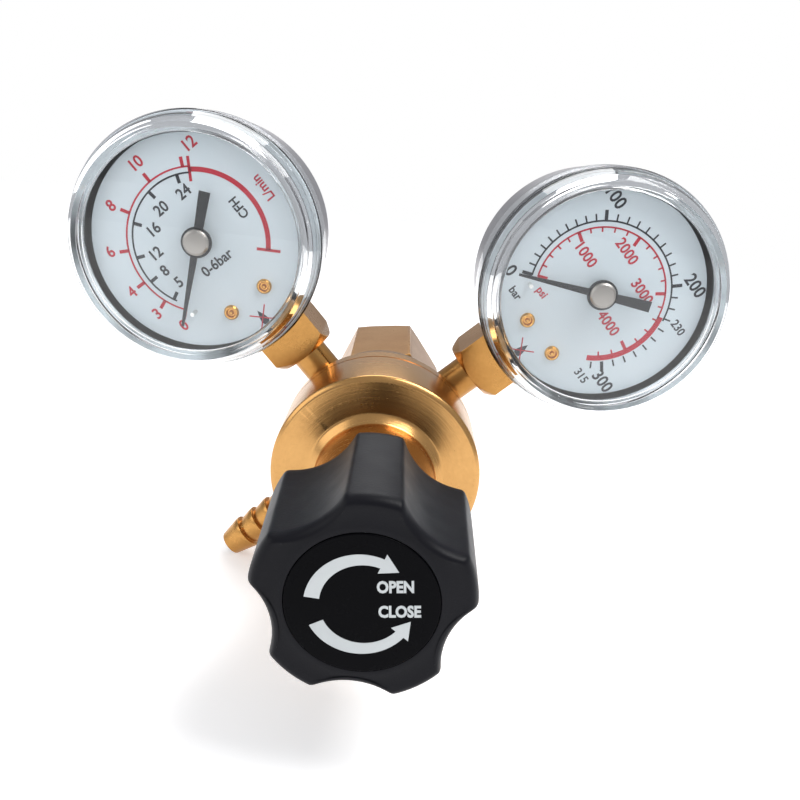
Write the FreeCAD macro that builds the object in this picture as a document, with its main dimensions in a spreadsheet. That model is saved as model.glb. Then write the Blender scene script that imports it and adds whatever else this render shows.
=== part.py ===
import FreeCAD, Part
import math
import os
import re
import Sketcher

# Two-gauge carbon dioxide pressure regulator for a beer or wine gas bottle.
#
# The regulator's own frame is in millimetres: the origin is the centre of the inlet nut's mouth,
# +Y leaves that mouth towards the bottle valve, -Y points at the user (the adjusting knob) and
# +Z is up. A "station" is a distance forward of the mouth, so a plane at station 68 is at Y = -68.
# Angles around the main axis are counted as the user sees them, anticlockwise from the right.
# A size that starts with "=" is worked out in the sheet from the sizes that it has to fit.

SIZES = {
    # inlet nut and nipple
    "nut_length": 34.0, "nut_across_flats": 27.0, "nut_thread_radius": 9.74, "nut_thread_length": 10.0,
    "nut_relief_radius": "=nut_thread_radius + 0.86", "nut_shoulder": 17.0, "nut_turn": 9.0,
    "nut_chamfer": 1.6, "nut_chamfer_height": 0.96, "washer_front": 12.0, "washer_thick": 1.6,
    "washer_radius": "=nut_thread_radius - 1.14", "collar_radius": "=nut_thread_radius - 0.34",
    "collar_thick": 4.0, "stem_radius": 6.9, "swivel_gap": 0.3,
    "stem_shoulder_radius": "=stem_radius + 2.1", "stem_shoulder": 3.0, "stem_thread_radius": 5.8,
    "stem_thread_length": 6.0, "stem_bore_radius": 2.2, "filter_radius": 4.2, "filter_length": 5.0,
    # brass body
    "hub_back": "=nut_length + 10", "hub_radius": "=body_radius - 4.1", "hub_chamfer": 1.6,
    "port_plane": "=hub_back + 13.6", "port_radius": 4.1, "port_floor": "=fitting_reach - 3.9",
    "fitting_reach": "=hub_radius - 5.5", "gas_way_radius": 1.5, "overrun": 1.0,
    "gas_way_offset": "=fitting_reach - 2.1", "flange_back": "=hub_back + 18.2",
    "flange_front": "=flange_back + 3.9", "body_radius": 22.1, "edge_break": 0.5,
    "boss_front": "=flange_front + 7.5", "boss_radius": "=body_radius - 2.6",
    "chamber_floor": "=boss_front - 5.6", "chamber_radius": "=boss_radius - 3.5",
    "seat_back": "=chamber_floor - 8",
    # bonnet
    "bonnet_shoulder": "=boss_front + 1.8", "bonnet_mouth_radius": "=chamber_radius - 1",
    "bonnet_mouth_depth": 3.0, "bonnet_edge": "=flange_front + 15.1",
    "bonnet_face": "=bonnet_edge + 0.9", "bonnet_round": 0.7, "bonnet_round_height": 0.56,
    "face_inner_radius": "=neck_radius + 1.5", "neck_radius": 12.5, "neck_fillet": 1.4,
    "neck_front": "=bonnet_face + 23.9", "neck_chamfer": 0.8,
    "spring_cavity_radius": "=neck_radius - 2.1", "cavity_front": "=neck_front - 6.5",
    # valve, diaphragm and range spring
    "nozzle_radius": 4.8, "nozzle_flange_radius": 6.5, "nozzle_flange": 1.5, "nozzle_bore": 1.7,
    "valve_spring_turns": 3.25, "poppet_spring_radius": 3.1, "poppet_wire_radius": 0.5,
    "poppet_radius": 4.0, "poppet_length": 4.0, "poppet_pin_radius": 1.2,
    "poppet_pin_front": "=boss_front - 1.4", "seat_disc_thick": 1.0, "seat_disc_radius": 3.5,
    "diaphragm_thick": 1.2, "diaphragm_radius": "=boss_radius - 0.6",
    "slip_ring_inner": "=chamber_radius - 0.8", "plate_radius": "=chamber_radius - 3",
    "plate_thick": 1.5, "plate_nose_radius": "=spring_radius - 1.6", "plate_nose": 2.0,
    "push_pin_radius": 1.5, "push_gap": 0.1, "button_back": "=cavity_front - 5.5",
    "button_radius": "=spring_cavity_radius - 0.6", "button_thick": 2.0, "button_hub_radius": 4.0,
    "button_hub": 2.0, "ball_radius": 1.8, "ball_gap": 0.1, "spring_radius": "=button_radius - 1.8",
    "spring_wire_radius": 1.2, "spring_turns": 4.25,
    # adjusting screw and knob
    "screw_radius": 4.9, "thread_gap": 0.08, "screw_head": "=knob_cavity_floor + 10",
    "knob_back": "=neck_front - 2.2", "knob_cavity_floor": "=knob_back + 10.2",
    "knob_cavity_radius": "=neck_radius + 0.5", "knob_front": "=knob_back + 25.8",
    "knob_back_radius": "=neck_radius + 6.2", "knob_front_radius": "=knob_back_radius - 0.6",
    "knob_bevel": 2.7, "knob_bevel_inset": 1.7, "flute_count": 5, "flute_radius": 13.4,
    "flute_centre": "=knob_back_radius + 9.7", "flute_turn": 54.5,
    "label_radius": "=knob_front_radius - 5.9", "label_thick": 0.7, "label_sunk": 0.5,
    "knob_screw_radius": 2.0, "knob_screw_back": "=screw_head - 8", "knob_screw_head_radius": 3.8,
    "knob_screw_head": 2.4,
    # outlet barb and relief valve, measured outwards from the main axis
    "outlet_angle": 225.0, "fitting_clear": "=body_radius + 0.5", "fitting_collar": 4.4,
    "fitting_flats": 11.0, "barb_root_radius": 3.3, "barb_crest_radius": 4.1, "barb_pitch": 4.4,
    "barb_count": 4, "barb_bore": 2.0, "barb_gap": 1.0, "barb_land": 0.8, "barb_taper": 0.3,
    "barb_tip": "=fitting_clear + 24.4", "relief_angle": 270.0, "relief_barrel_radius": 5.5,
    "relief_barrel_end": "=fitting_clear + 11.4", "relief_flats": 13.0, "relief_bore_radius": 4.2,
    "relief_floor": 1.0, "relief_cap_thick": 3.0, "relief_cap_flange": 1.2, "relief_poppet_radius": 3.8,
    "relief_poppet_thick": 3.0, "relief_stem_radius": 1.4,
    "relief_stem_end": "=relief_barrel_end - 0.4", "relief_spring_radius": 2.8,
    "relief_wire_radius": 0.5,
    # pressure gauges; depths run forward from the dial's face
    "gauge_offset": "=socket_end + 8.3 + case_radius", "gauge_tilt": 45.0,
    "dial_plane": "=port_plane + 10.4", "case_radius": 25.0, "case_wall": 0.8, "case_depth": 21.0,
    "case_rim": 1.5, "case_round": 1.5, "case_ease": 0.2, "gasket_width": 1.6, "gasket_thick": 0.8,
    "lens_radius": "=case_radius + 1", "lens_skirt": 3.5, "lens_shoulder": 3.4, "lens_bevel": 7.4,
    "lens_face": 8.6, "lens_front_radius": "=case_radius - 0.8", "lens_wall": 1.2, "lens_edge": 0.4,
    "lens_break": 0.6, "lens_gap": 0.05, "dial_radius": "=case_radius - 2.4", "dial_thick": 0.6,
    "dial_hole": 1.4, "screw_ring": "=case_radius - 8.7", "screw_spread": 16.6,
    "dial_screw_radius": 0.8, "dial_screw_head": 1.6, "dial_screw_height": 0.7,
    "stop_ring": "=case_radius - 9.8", "stop_angle": 225.0, "stop_radius": 0.45, "stop_height": 2.9,
    "zero_angle": 218.5, "pointer_tip": "=case_radius - 6.8", "pointer_tail": 10.5,
    "pointer_width": 2.3, "pointer_tip_width": 0.5, "pointer_disc": 3.2, "pointer_height": 2.0,
    "pointer_thick": 0.5, "cap_radius": 2.7, "cap_height": 0.9, "cap_dome": 0.4, "socket_square": 12.9,
    "socket_end": "=body_radius + 4.4", "socket_bevel": 2.2, "shank_radius": 5.0, "block_width": 11.0,
    "block_height": 7.2, "block_top": "=tube_radius - 2", "block_bottom": "=tube_radius + 4",
    "socket_bore": 1.5,
    # gauge movement
    "tube_radius": "=case_radius - 6", "tube_thick": 1.6, "tube_depth": 6.0, "tube_wall": 0.35,
    "tube_sweep": 275.0, "tube_root": 1.0, "tube_plug": 4.0, "plate_front": 2.5, "plate_back": 12.0,
    "movement_plate": 1.0, "plate_half_width": 8.5, "plate_shoulder": 5.0, "plate_top": 5.0,
    "pillar_radius": 1.2, "pillar_across": 7.0, "pillar_low": 9.0, "pillar_high": 3.5,
    "arbor_radius": 0.7, "bearing_gap": 0.05, "gear_module": 0.3, "tooth_tip": 0.8, "tooth_root": 1.1,
    "pinion_teeth": 10, "sector_teeth": 80, "sector_depth": 8.0, "sector_thick": 1.0,
    "pinion_extra": 0.2, "sector_hub": 2.2, "tail_length": 5.0, "link_width": 1.6, "link_thick": 0.5,
    "link_space": 0.9, "hairspring_depth": 4.6, "hairspring_height": 0.5, "hairspring_inner": 0.9,
    "hairspring_step": 0.45, "hairspring_strip": 0.12, "hairspring_halves": 8,
}

doc = FreeCAD.newDocument("regulator")
sheet = doc.addObject("Spreadsheet::Sheet", "Sizes")
for row, alias in enumerate(SIZES, 1):
    sheet.set(f"A{row}", alias.replace("_", " "))
    sheet.setAlias(f"B{row}", alias)
for row, number in enumerate(SIZES.values(), 1):
    sheet.set(f"B{row}", str(number))
doc.recompute()

X_AXIS, Y_AXIS, Z_AXIS = (FreeCAD.Vector(*unit) for unit in ((1, 0, 0), (0, 1, 0), (0, 0, 1)))
FORWARD = FreeCAD.Rotation(Z_AXIS, 180)
UPRIGHT = FreeCAD.Rotation(X_AXIS, -90)
nodes = []


def bound(text):
    """An expression on the sheet's cells, from one written with their bare aliases."""
    return re.sub(r"[a-z_]+", lambda word: f"Sizes.{word[0]}" if word[0] in SIZES else word[0], text)


def measure(text):
    """The present value of such an expression."""
    return float(sheet.evalExpression(bound(text)))


GAUGE_ANGLES = {"low": 180 - measure("gauge_tilt"), "high": measure("gauge_tilt")}


def bind(item, **properties):
    """Tie an object's properties to expressions on the sheet."""
    for name, text in properties.items():
        item.setExpression(name, bound(text))
    return item


def node(item, label):
    """Mark an object as one of the regulator's physical pieces."""
    item.Label = label
    nodes.append(item)
    return item


def at_station(text):
    """On the main axis, with the piece's own +Y pointing forward."""
    return FreeCAD.Placement(FreeCAD.Vector(0, -measure(text), 0), FORWARD)


def ray(angle):
    """Unit vector across the main axis at an angle that the user sees."""
    return FreeCAD.Vector(math.cos(math.radians(angle)), 0, math.sin(math.radians(angle)))


def on_port(angle, distance="0"):
    """On a port's axis, with the piece's own +Y pointing outwards."""
    base = ray(angle) * measure(distance) - Y_AXIS * measure("port_plane")
    return FreeCAD.Placement(base, FreeCAD.Rotation(Y_AXIS, ray(angle)))


def outline(body, plane, points):
    """A closed, fully dimensioned sketch through points given as pairs of expressions."""
    sketch = body.newObject("Sketcher::SketchObject", "outline")
    support = next(item for item in body.Origin.OriginFeatures if item.Role == plane)
    sketch.AttachmentSupport = (support, [""])
    sketch.MapMode = "FlatFace"
    spots = [FreeCAD.Vector(measure(across), measure(along), 0) for across, along in points]
    count = len(spots)
    for index, spot in enumerate(spots):
        sketch.addGeometry(Part.LineSegment(spot, spots[(index + 1) % count]))
    for index in range(count):
        sketch.addConstraint(Sketcher.Constraint("Coincident", index, 2, (index + 1) % count, 1))
    for index, pair in enumerate(points):
        for kind, axis, text, size in zip(("DistanceX", "DistanceY"), (-2, -1), pair, spots[index]):
            if text == "0":
                sketch.addConstraint(Sketcher.Constraint("PointOnObject", index, 1, axis))
            else:
                number = sketch.addConstraint(Sketcher.Constraint(kind, -1, 1, index, 1, size))
                sketch.setExpression(f"Constraints[{number}]", bound(text))
    return sketch


def turned(points, placement=None, angle="360"):
    """A lathe-turned piece: (radius, distance along the axis) points revolved about its own Y."""
    body = doc.addObject("PartDesign::Body", "turned")
    sketch = outline(body, "XY_Plane", points)
    revolution = body.newObject("PartDesign::Revolution", "revolution")
    revolution.Profile = sketch
    revolution.ReferenceAxis = (sketch, ["V_Axis"])
    bind(revolution, Angle=angle)
    sketch.Visibility = False
    if placement:
        body.Placement = placement
    return body


def plate(points, thickness, placement):
    """A flat piece: an outline in its own XZ plane, thickened along -Y."""
    body = doc.addObject("PartDesign::Body", "plate")
    sketch = outline(body, "XZ_Plane", points)
    pad = body.newObject("PartDesign::Pad", "pad")
    pad.Profile = sketch
    bind(pad, Length=thickness)
    body.Placement = placement
    return body


def rod(radius, length, placement):
    """A cylinder from a placement's origin along its own +Y."""
    item = doc.addObject("Part::Cylinder", "rod")
    bind(item, Radius=radius, Height=length)
    item.Placement = placement.multiply(FreeCAD.Placement(FreeCAD.Vector(), UPRIGHT))
    return item


def hexagon(flats, length, placement, turn=0):
    """A hexagonal bar from a placement's origin along its own +Y."""
    item = doc.addObject("Part::Prism", "hexagon")
    item.Polygon = 6
    bind(item, Circumradius=f"({flats}) / sqrt(3)", Height=length)
    lean = UPRIGHT.multiply(FreeCAD.Rotation(Z_AXIS, turn))
    item.Placement = placement.multiply(FreeCAD.Placement(FreeCAD.Vector(), lean))
    return item


def joined(*pieces):
    """Pieces fused into one solid."""
    item = doc.addObject("Part::MultiFuse", "joined")
    item.Shapes = list(pieces)
    return item


def cut(base, *tools):
    """A piece with one or more others taken away."""
    item = doc.addObject("Part::Cut", "cut")
    item.Base = base
    item.Tool = joined(*tools) if len(tools) > 1 else tools[0]
    return item


def shaped(shape, placement):
    """A piece whose shape comes straight from Part's own functions."""
    item = doc.addObject("Part::Feature", "shaped")
    item.Shape = shape
    item.Placement = placement
    return item


def coil(radius, wire, turns, length, placement):
    """A compression spring of round wire from a placement's origin along its own +Y."""
    radius, wire, turns, length = (measure(text) for text in (radius, wire, turns, length))
    reach = length - 2 * wire
    helix = Part.makeLongHelix(reach / turns, reach, radius)
    ring = Part.Wire(Part.makeCircle(wire, FreeCAD.Vector(radius, 0, 0), Y_AXIS))
    spring = Part.Wire(helix.Edges).makePipeShell([ring], True, True)
    return shaped(spring, placement.multiply(FreeCAD.Placement(Y_AXIS * wire, UPRIGHT)))


# ---- inlet: swivel nut, nipple, washer and filter ----

def inlet():
    """The nut that turns on the nipple, and what seals and filters the gas inside it."""
    mouth = FreeCAD.Placement(FreeCAD.Vector(), FORWARD)
    corner = "nut_across_flats / sqrt(3)"
    blank = turned([("0", "0"), (f"{corner} - nut_chamfer", "0"), (corner, "nut_chamfer_height"),
                    (corner, "nut_length - nut_chamfer_height"), (f"{corner} - nut_chamfer", "nut_length"),
                    ("0", "nut_length")], mouth)
    bar = hexagon("nut_across_flats", "nut_length", mouth, measure("-nut_turn"))
    hexed = doc.addObject("Part::Common", "hexed")
    hexed.Base, hexed.Tool = blank, bar
    swivel = "stem_radius + swivel_gap"
    bores = turned([("0", "0"), ("nut_thread_radius", "0"), ("nut_thread_radius", "nut_thread_length"),
                    ("nut_relief_radius", "nut_thread_length"), ("nut_relief_radius", "nut_shoulder"),
                    (swivel, "nut_shoulder"), (swivel, "nut_length"), ("0", "nut_length")], mouth)
    node(cut(hexed, bores), "inlet_nut")

    body_end = "hub_back - washer_front"
    node(turned([
        ("filter_radius", "0"), ("collar_radius", "0"), ("collar_radius", "collar_thick"),
        ("stem_radius", "collar_thick"), ("stem_radius", f"{body_end} - stem_shoulder"),
        ("stem_shoulder_radius", f"{body_end} - stem_shoulder"), ("stem_shoulder_radius", body_end),
        ("stem_thread_radius", body_end), ("stem_thread_radius", f"{body_end} + stem_thread_length"),
        ("stem_bore_radius", f"{body_end} + stem_thread_length"), ("stem_bore_radius", "filter_length"),
        ("filter_radius", "filter_length")], at_station("washer_front")), "inlet_nipple")
    node(turned([("stem_bore_radius", "0"), ("washer_radius", "0"), ("washer_radius", "washer_thick"),
                 ("stem_bore_radius", "washer_thick")], at_station("washer_front - washer_thick")),
         "inlet_washer")
    node(rod("filter_radius", "filter_length", at_station("washer_front")), "inlet_filter")


# ---- brass body, bonnet and what they clamp ----

def body_and_bonnet():
    """The forged body with its four ports, and the bonnet screwed over its boss."""
    flange_back = "flange_back - hub_back"
    flange_front = "flange_front - hub_back"
    core = turned([
        ("stem_thread_radius", "0"), ("hub_radius - hub_chamfer", "0"), ("hub_radius", "hub_chamfer"),
        ("hub_radius", flange_back), ("body_radius - edge_break", flange_back),
        ("body_radius", f"{flange_back} + edge_break"), ("body_radius", flange_front),
        ("boss_radius", flange_front), ("boss_radius", "boss_front - hub_back"),
        ("chamber_radius", "boss_front - hub_back"), ("chamber_radius", "chamber_floor - hub_back"),
        ("nozzle_radius", "chamber_floor - hub_back"), ("nozzle_radius", "seat_back - hub_back"),
        ("stem_thread_radius", "seat_back - hub_back")], at_station("hub_back"))
    drills = [rod("gas_way_radius", "port_floor", on_port(GAUGE_ANGLES["high"]))]
    for angle in (*GAUGE_ANGLES.values(), measure("outlet_angle"), measure("relief_angle")):
        drills.append(rod("port_radius", "hub_radius - port_floor + overrun", on_port(angle, "port_floor")))
    for angle in (GAUGE_ANGLES["low"], measure("outlet_angle"), measure("relief_angle")):
        base = ray(angle) * measure("gas_way_offset") - Y_AXIS * measure("port_plane")
        drills.append(rod("gas_way_radius", "chamber_floor - port_plane + overrun",
                          FreeCAD.Placement(base, FORWARD)))
    node(cut(core, *drills), "body")

    shoulder = "bonnet_shoulder - flange_front"
    mouth = f"{shoulder} + bonnet_mouth_depth"
    node(turned([
        ("boss_radius", "0"), ("body_radius", "0"), ("body_radius", "bonnet_edge - flange_front"),
        ("body_radius - bonnet_round", "bonnet_edge + bonnet_round_height - flange_front"),
        ("face_inner_radius", "bonnet_face - flange_front"),
        ("neck_radius", "bonnet_face + neck_fillet - flange_front"),
        ("neck_radius", "neck_front - neck_chamfer - flange_front"),
        ("neck_radius - neck_chamfer", "neck_front - flange_front"),
        ("screw_radius + thread_gap", "neck_front - flange_front"),
        ("screw_radius + thread_gap", "cavity_front - flange_front"),
        ("spring_cavity_radius", "cavity_front - flange_front"), ("spring_cavity_radius", mouth),
        ("bonnet_mouth_radius", mouth), ("bonnet_mouth_radius", shoulder), ("boss_radius", shoulder)],
        at_station("flange_front")), "bonnet")

    hole = "push_pin_radius + push_gap"
    node(turned([(hole, "0"), ("diaphragm_radius", "0"), ("diaphragm_radius", "diaphragm_thick"),
                 (hole, "diaphragm_thick")], at_station("boss_front")), "diaphragm")
    ring = "bonnet_shoulder - boss_front - diaphragm_thick"
    node(turned([("slip_ring_inner", "0"), ("diaphragm_radius", "0"), ("diaphragm_radius", ring),
                 ("slip_ring_inner", ring)], at_station("boss_front + diaphragm_thick")), "slip_ring")


def valve():
    """Nozzle, poppet with its seat disc and return spring, and the plate that pushes the poppet."""
    flange = "chamber_floor - seat_back"
    node(turned([
        ("nozzle_bore", "0"), ("nozzle_radius", "0"), ("nozzle_radius", flange),
        ("nozzle_flange_radius", flange), ("nozzle_flange_radius", f"{flange} + nozzle_flange"),
        ("nozzle_bore", f"{flange} + nozzle_flange")], at_station("seat_back")), "valve_nozzle")
    head = "poppet_length + seat_disc_thick"
    back = f"seat_back - ({head})"
    node(turned([
        ("0", "0"), ("poppet_radius", "0"), ("poppet_radius", head), ("seat_disc_radius", head),
        ("seat_disc_radius", "poppet_length"), ("poppet_pin_radius", "poppet_length"),
        ("poppet_pin_radius", f"poppet_pin_front - ({back})"), ("0", f"poppet_pin_front - ({back})")],
        at_station(back)), "poppet")
    node(turned([("poppet_pin_radius", "0"), ("seat_disc_radius", "0"),
                 ("seat_disc_radius", "seat_disc_thick"), ("poppet_pin_radius", "seat_disc_thick")],
                at_station("seat_back - seat_disc_thick")), "seat_disc")
    spring_back = "hub_back + stem_thread_length"
    node(coil("poppet_spring_radius", "poppet_wire_radius", "valve_spring_turns", f"{back} - ({spring_back})",
              at_station(spring_back)), "poppet_spring")

    push_back = "boss_front + diaphragm_thick - poppet_pin_front - push_gap"
    node(turned([
        ("0", "0"), ("push_pin_radius", "0"), ("push_pin_radius", push_back), ("plate_radius", push_back),
        ("plate_radius", f"{push_back} + plate_thick"), ("plate_nose_radius", f"{push_back} + plate_thick"),
        ("plate_nose_radius", f"{push_back} + plate_thick + plate_nose"),
        ("0", f"{push_back} + plate_thick + plate_nose")],
        at_station("poppet_pin_front + push_gap")), "diaphragm_plate")


def range_spring():
    """The spring that the screw loads, its button and the thrust ball."""
    seat = "boss_front + diaphragm_thick + plate_thick"
    node(coil("spring_radius", "spring_wire_radius", "spring_turns", f"button_back - ({seat})",
              at_station(seat)), "range_spring")
    pocket = "ball_radius + ball_gap"
    rim = "button_thick + button_hub"
    node(turned([
        ("0", "0"), ("button_radius", "0"), ("button_radius", "button_thick"),
        ("button_hub_radius", "button_thick"), ("button_hub_radius", rim), (pocket, rim),
        (pocket, "button_thick"), ("0", "button_thick")], at_station("button_back")), "spring_button")
    ball = doc.addObject("Part::Sphere", "ball")
    bind(ball, Radius="ball_radius")
    ball.Placement = at_station("button_back + button_thick + ball_radius")
    node(ball, "thrust_ball")


def knob():
    """Adjusting screw, fluted knob, the screw that holds them together and the label disc."""
    tip = "button_back + button_thick + 2 * ball_radius + ball_gap"
    node(turned([
        ("0", "0"), ("screw_radius - neck_chamfer", "0"), ("screw_radius", "neck_chamfer"),
        ("screw_radius", f"screw_head - ({tip})"), ("knob_screw_radius", f"screw_head - ({tip})"),
        ("knob_screw_radius", f"knob_screw_back - ({tip})"), ("0", f"knob_screw_back - ({tip})")],
        at_station(tip)), "adjusting_screw")

    face = "knob_front - knob_back"
    recess = f"{face} - label_sunk"
    head = f"{recess} - knob_screw_head"
    floor = "knob_cavity_floor - knob_back"
    blank = turned([
        ("knob_cavity_radius", "0"), ("knob_back_radius", "0"), ("knob_front_radius", f"{face} - knob_bevel"),
        ("knob_front_radius - knob_bevel_inset", face), ("label_radius", face), ("label_radius", recess),
        ("knob_screw_head_radius", recess), ("knob_screw_radius", head),
        ("knob_screw_radius", "screw_head - knob_back"),
        ("screw_radius", "screw_head - knob_back"), ("screw_radius", floor), ("knob_cavity_radius", floor)],
        at_station("knob_back"))
    flutes = []
    for index in range(int(measure("flute_count"))):
        angle = measure("flute_turn") + index * 360 / measure("flute_count")
        base = ray(angle) * measure("flute_centre") - Y_AXIS * measure("knob_back - overrun")
        flutes.append(rod("flute_radius", "knob_front - knob_back + 2 * overrun",
                          FreeCAD.Placement(base, FORWARD)))
    node(cut(blank, *flutes), "knob")
    shank = f"{head} + knob_back - knob_screw_back"
    top = f"{recess} + knob_back - knob_screw_back"
    node(turned([("0", "0"), ("knob_screw_radius", "0"), ("knob_screw_radius", shank),
                 ("knob_screw_head_radius", top), ("0", top)], at_station("knob_screw_back")), "knob_screw")
    node(rod("label_radius", "label_thick", at_station("knob_front - label_sunk")), "knob_label")


# ---- outlet barb and relief valve ----

def outlet():
    """Hose barb screwed into the low-pressure side."""
    start = "fitting_reach"
    first = f"fitting_clear + fitting_collar + barb_gap - {start}"
    edge = [("barb_bore", "0"), ("port_radius", "0"), ("port_radius", f"fitting_clear - {start}"),
            ("barb_root_radius", f"fitting_clear - {start}")]
    for index in range(int(measure("barb_count"))):
        edge += [("barb_root_radius", f"{first} + {index} * barb_pitch"),
                 ("barb_crest_radius", f"{first} + {index} * barb_pitch"),
                 ("barb_crest_radius", f"{first} + {index} * barb_pitch + barb_land")]
    edge += [("barb_root_radius - barb_taper", f"barb_tip - {start}"), ("barb_bore", f"barb_tip - {start}")]
    angle = measure("outlet_angle")
    collar = cut(hexagon("fitting_flats", "fitting_collar", on_port(angle, "fitting_clear")),
                 rod("barb_bore", "fitting_collar", on_port(angle, "fitting_clear")))
    node(joined(turned(edge, on_port(angle, start)), collar), "outlet_barb")


def relief_valve():
    """Spring-loaded relief valve screwed in under the body."""
    angle = measure("relief_angle")
    start = "fitting_reach"
    end = f"relief_barrel_end - {start}"
    seat = "fitting_clear + relief_floor"
    shell = turned([
        ("gas_way_radius", "0"), ("port_radius", "0"), ("port_radius", f"fitting_clear - {start}"),
        ("relief_barrel_radius", f"fitting_clear - {start}"), ("relief_barrel_radius", end),
        ("relief_bore_radius", end), ("relief_bore_radius", f"{seat} - {start}"),
        ("gas_way_radius", f"{seat} - {start}")], on_port(angle, start))
    collar = cut(hexagon("relief_flats", "fitting_collar", on_port(angle, "fitting_clear")),
                 rod("relief_bore_radius", "fitting_collar", on_port(angle, "fitting_clear")))
    node(joined(shell, collar), "relief_body")
    stem = f"relief_stem_end - ({seat})"
    node(turned([("0", "0"), ("relief_poppet_radius", "0"), ("relief_poppet_radius", "relief_poppet_thick"),
                 ("relief_stem_radius", "relief_poppet_thick"), ("relief_stem_radius", stem), ("0", stem)],
                on_port(angle, seat)), "relief_poppet")
    hole = "relief_stem_radius + swivel_gap"
    plug = "relief_cap_thick"
    node(turned([(hole, "0"), ("relief_bore_radius", "0"), ("relief_bore_radius", plug),
                 ("relief_barrel_radius", plug), ("relief_barrel_radius", f"{plug} + relief_cap_flange"),
                 (hole, f"{plug} + relief_cap_flange")],
                on_port(angle, "relief_barrel_end - relief_cap_thick")), "relief_cap")
    foot = f"{seat} + relief_poppet_thick"
    node(coil("relief_spring_radius", "relief_wire_radius", "valve_spring_turns",
              f"relief_barrel_end - relief_cap_thick - ({foot})", on_port(angle, foot)), "relief_spring")


# ---- pressure gauges ----

class Gauge:
    """One gauge. Its own frame has the dial's centre as origin, up away from its stem."""

    def __init__(self, prefix, angle):
        self.prefix = prefix
        self.angle = angle
        centre = ray(angle) * measure("gauge_offset") - Y_AXIS * measure("dial_plane")
        self.frame = FreeCAD.Placement(centre, FreeCAD.Rotation(Y_AXIS, 90 - angle))

    def node(self, item, label):
        """Mark a piece as this gauge's own."""
        return node(item, f"{self.prefix}_gauge_{label}")

    def place(self, depth="0", across=0.0, up=0.0, turn=0.0):
        """Forward of the dial by depth, its own +Y pointing forward, turned as the user sees it."""
        base = FreeCAD.Vector(across, -measure(depth), up)
        lean = FreeCAD.Rotation(Y_AXIS, -turn).multiply(FORWARD)
        return self.frame.multiply(FreeCAD.Placement(base, lean))

    def flat(self, depth="0", across=0.0, up=0.0, turn=0.0):
        """As place, for plates: own X across, own Z up, thickness growing forward along -Y."""
        base = FreeCAD.Vector(across, -measure(depth), up)
        return self.frame.multiply(FreeCAD.Placement(base, FreeCAD.Rotation(Y_AXIS, -turn)))

    def box(self, width, height, depth, centre_depth, low):
        """A block centred across the gauge, from a height upwards."""
        item = doc.addObject("Part::Box", "block")
        bind(item, Length=width, Width=depth, Height=height)
        base = FreeCAD.Vector(-measure(width) / 2, measure(f"{centre_depth} - ({depth}) / 2"), measure(low))
        item.Placement = self.frame.multiply(FreeCAD.Placement(base, FreeCAD.Rotation()))
        return item

    def build(self):
        """Every piece of the gauge."""
        self.housing()
        self.face()
        self.socket(self.tube())
        self.movement()
        self.gears()

    def housing(self):
        """Pressed steel case, rubber gasket and clear snap-on lens."""
        inner = "case_radius - case_wall"
        rim = "case_depth + case_rim"
        cup = turned([
            ("0", "0"), ("case_radius - case_round", "0"), ("case_radius", "case_round"),
            ("case_radius", rim), (inner, rim), (inner, "case_round + case_ease"),
            ("case_radius - case_round - case_ease", "case_wall"), ("0", "case_wall")], self.place("-case_depth"))
        stem = rod("shank_radius", "gauge_offset", on_port(self.angle))
        self.node(cut(cup, stem), "case")
        self.node(turned([("case_radius - gasket_width", "0"), ("case_radius", "0"),
                          ("case_radius", "gasket_thick"), ("case_radius - gasket_width", "gasket_thick")],
                         self.place("case_rim")), "gasket")
        seat = "lens_skirt + case_rim + gasket_thick"
        skirt = "case_radius + lens_gap"
        self.node(turned([
            (skirt, "0"), ("lens_radius", "0"), ("lens_radius", "lens_skirt + lens_shoulder"),
            ("lens_front_radius + lens_edge", "lens_skirt + lens_bevel"),
            ("lens_front_radius - lens_break", "lens_skirt + lens_face"),
            ("0", "lens_skirt + lens_face"), ("0", "lens_skirt + lens_face - lens_wall"),
            ("lens_front_radius - lens_wall - lens_break", "lens_skirt + lens_face - lens_wall"),
            ("case_radius - gasket_width", seat), (skirt, seat)], self.place("-lens_skirt")), "lens")

    def face(self):
        """Dial, the two screws that hold it, stop pin, pointer and pointer cap."""
        disc = turned([("dial_hole", "0"), ("dial_radius", "0"), ("dial_radius", "dial_thick"),
                       ("dial_hole", "dial_thick")], self.place("-dial_thick"))
        self.node(cut(disc, *self.at_screws("dial_screw_radius", "-dial_thick", "dial_thick")), "dial")
        shanks = self.at_screws("dial_screw_radius", "-plate_front", "plate_front")
        heads = self.at_screws("dial_screw_head", "0", "dial_screw_height")
        self.node(joined(*shanks, *heads), "dial_screws")
        self.node(self.spot("stop_ring", measure("stop_angle"), "0", "stop_radius", "stop_height"),
                  "stop_pin")
        half, tip = "pointer_width / 2", "pointer_tip_width / 2"
        blade = plate([("pointer_tip", f"-{tip}"), ("pointer_tip", tip), ("0 - pointer_tail", half),
                       ("0 - pointer_tail", f"-{half}")], "pointer_thick",
                      self.flat("pointer_height", turn=measure("zero_angle")))
        boss = rod("pointer_disc", "pointer_thick", self.place("pointer_height"))
        self.node(joined(blade, boss), "pointer")
        self.node(turned([("0", "0"), ("cap_radius", "0"), ("cap_radius", "cap_height - cap_dome"),
                          ("cap_radius - cap_dome", "cap_height"), ("0", "cap_height")],
                         self.place("pointer_height + pointer_thick")), "pointer_cap")

    def spot(self, ring, angle, depth, radius, length):
        """A rod at a ring radius and angle on the dial."""
        far = ray(angle) * measure(ring)
        return rod(radius, length, self.place(depth, far.x, far.z))

    def at_screws(self, radius, depth, length):
        """The same rod at both dial screws, which stand either side of the stem."""
        spread = measure("screw_spread")
        return [self.spot("screw_ring", angle, depth, radius, length)
                for angle in (270 - spread, 270 + spread)]

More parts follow.
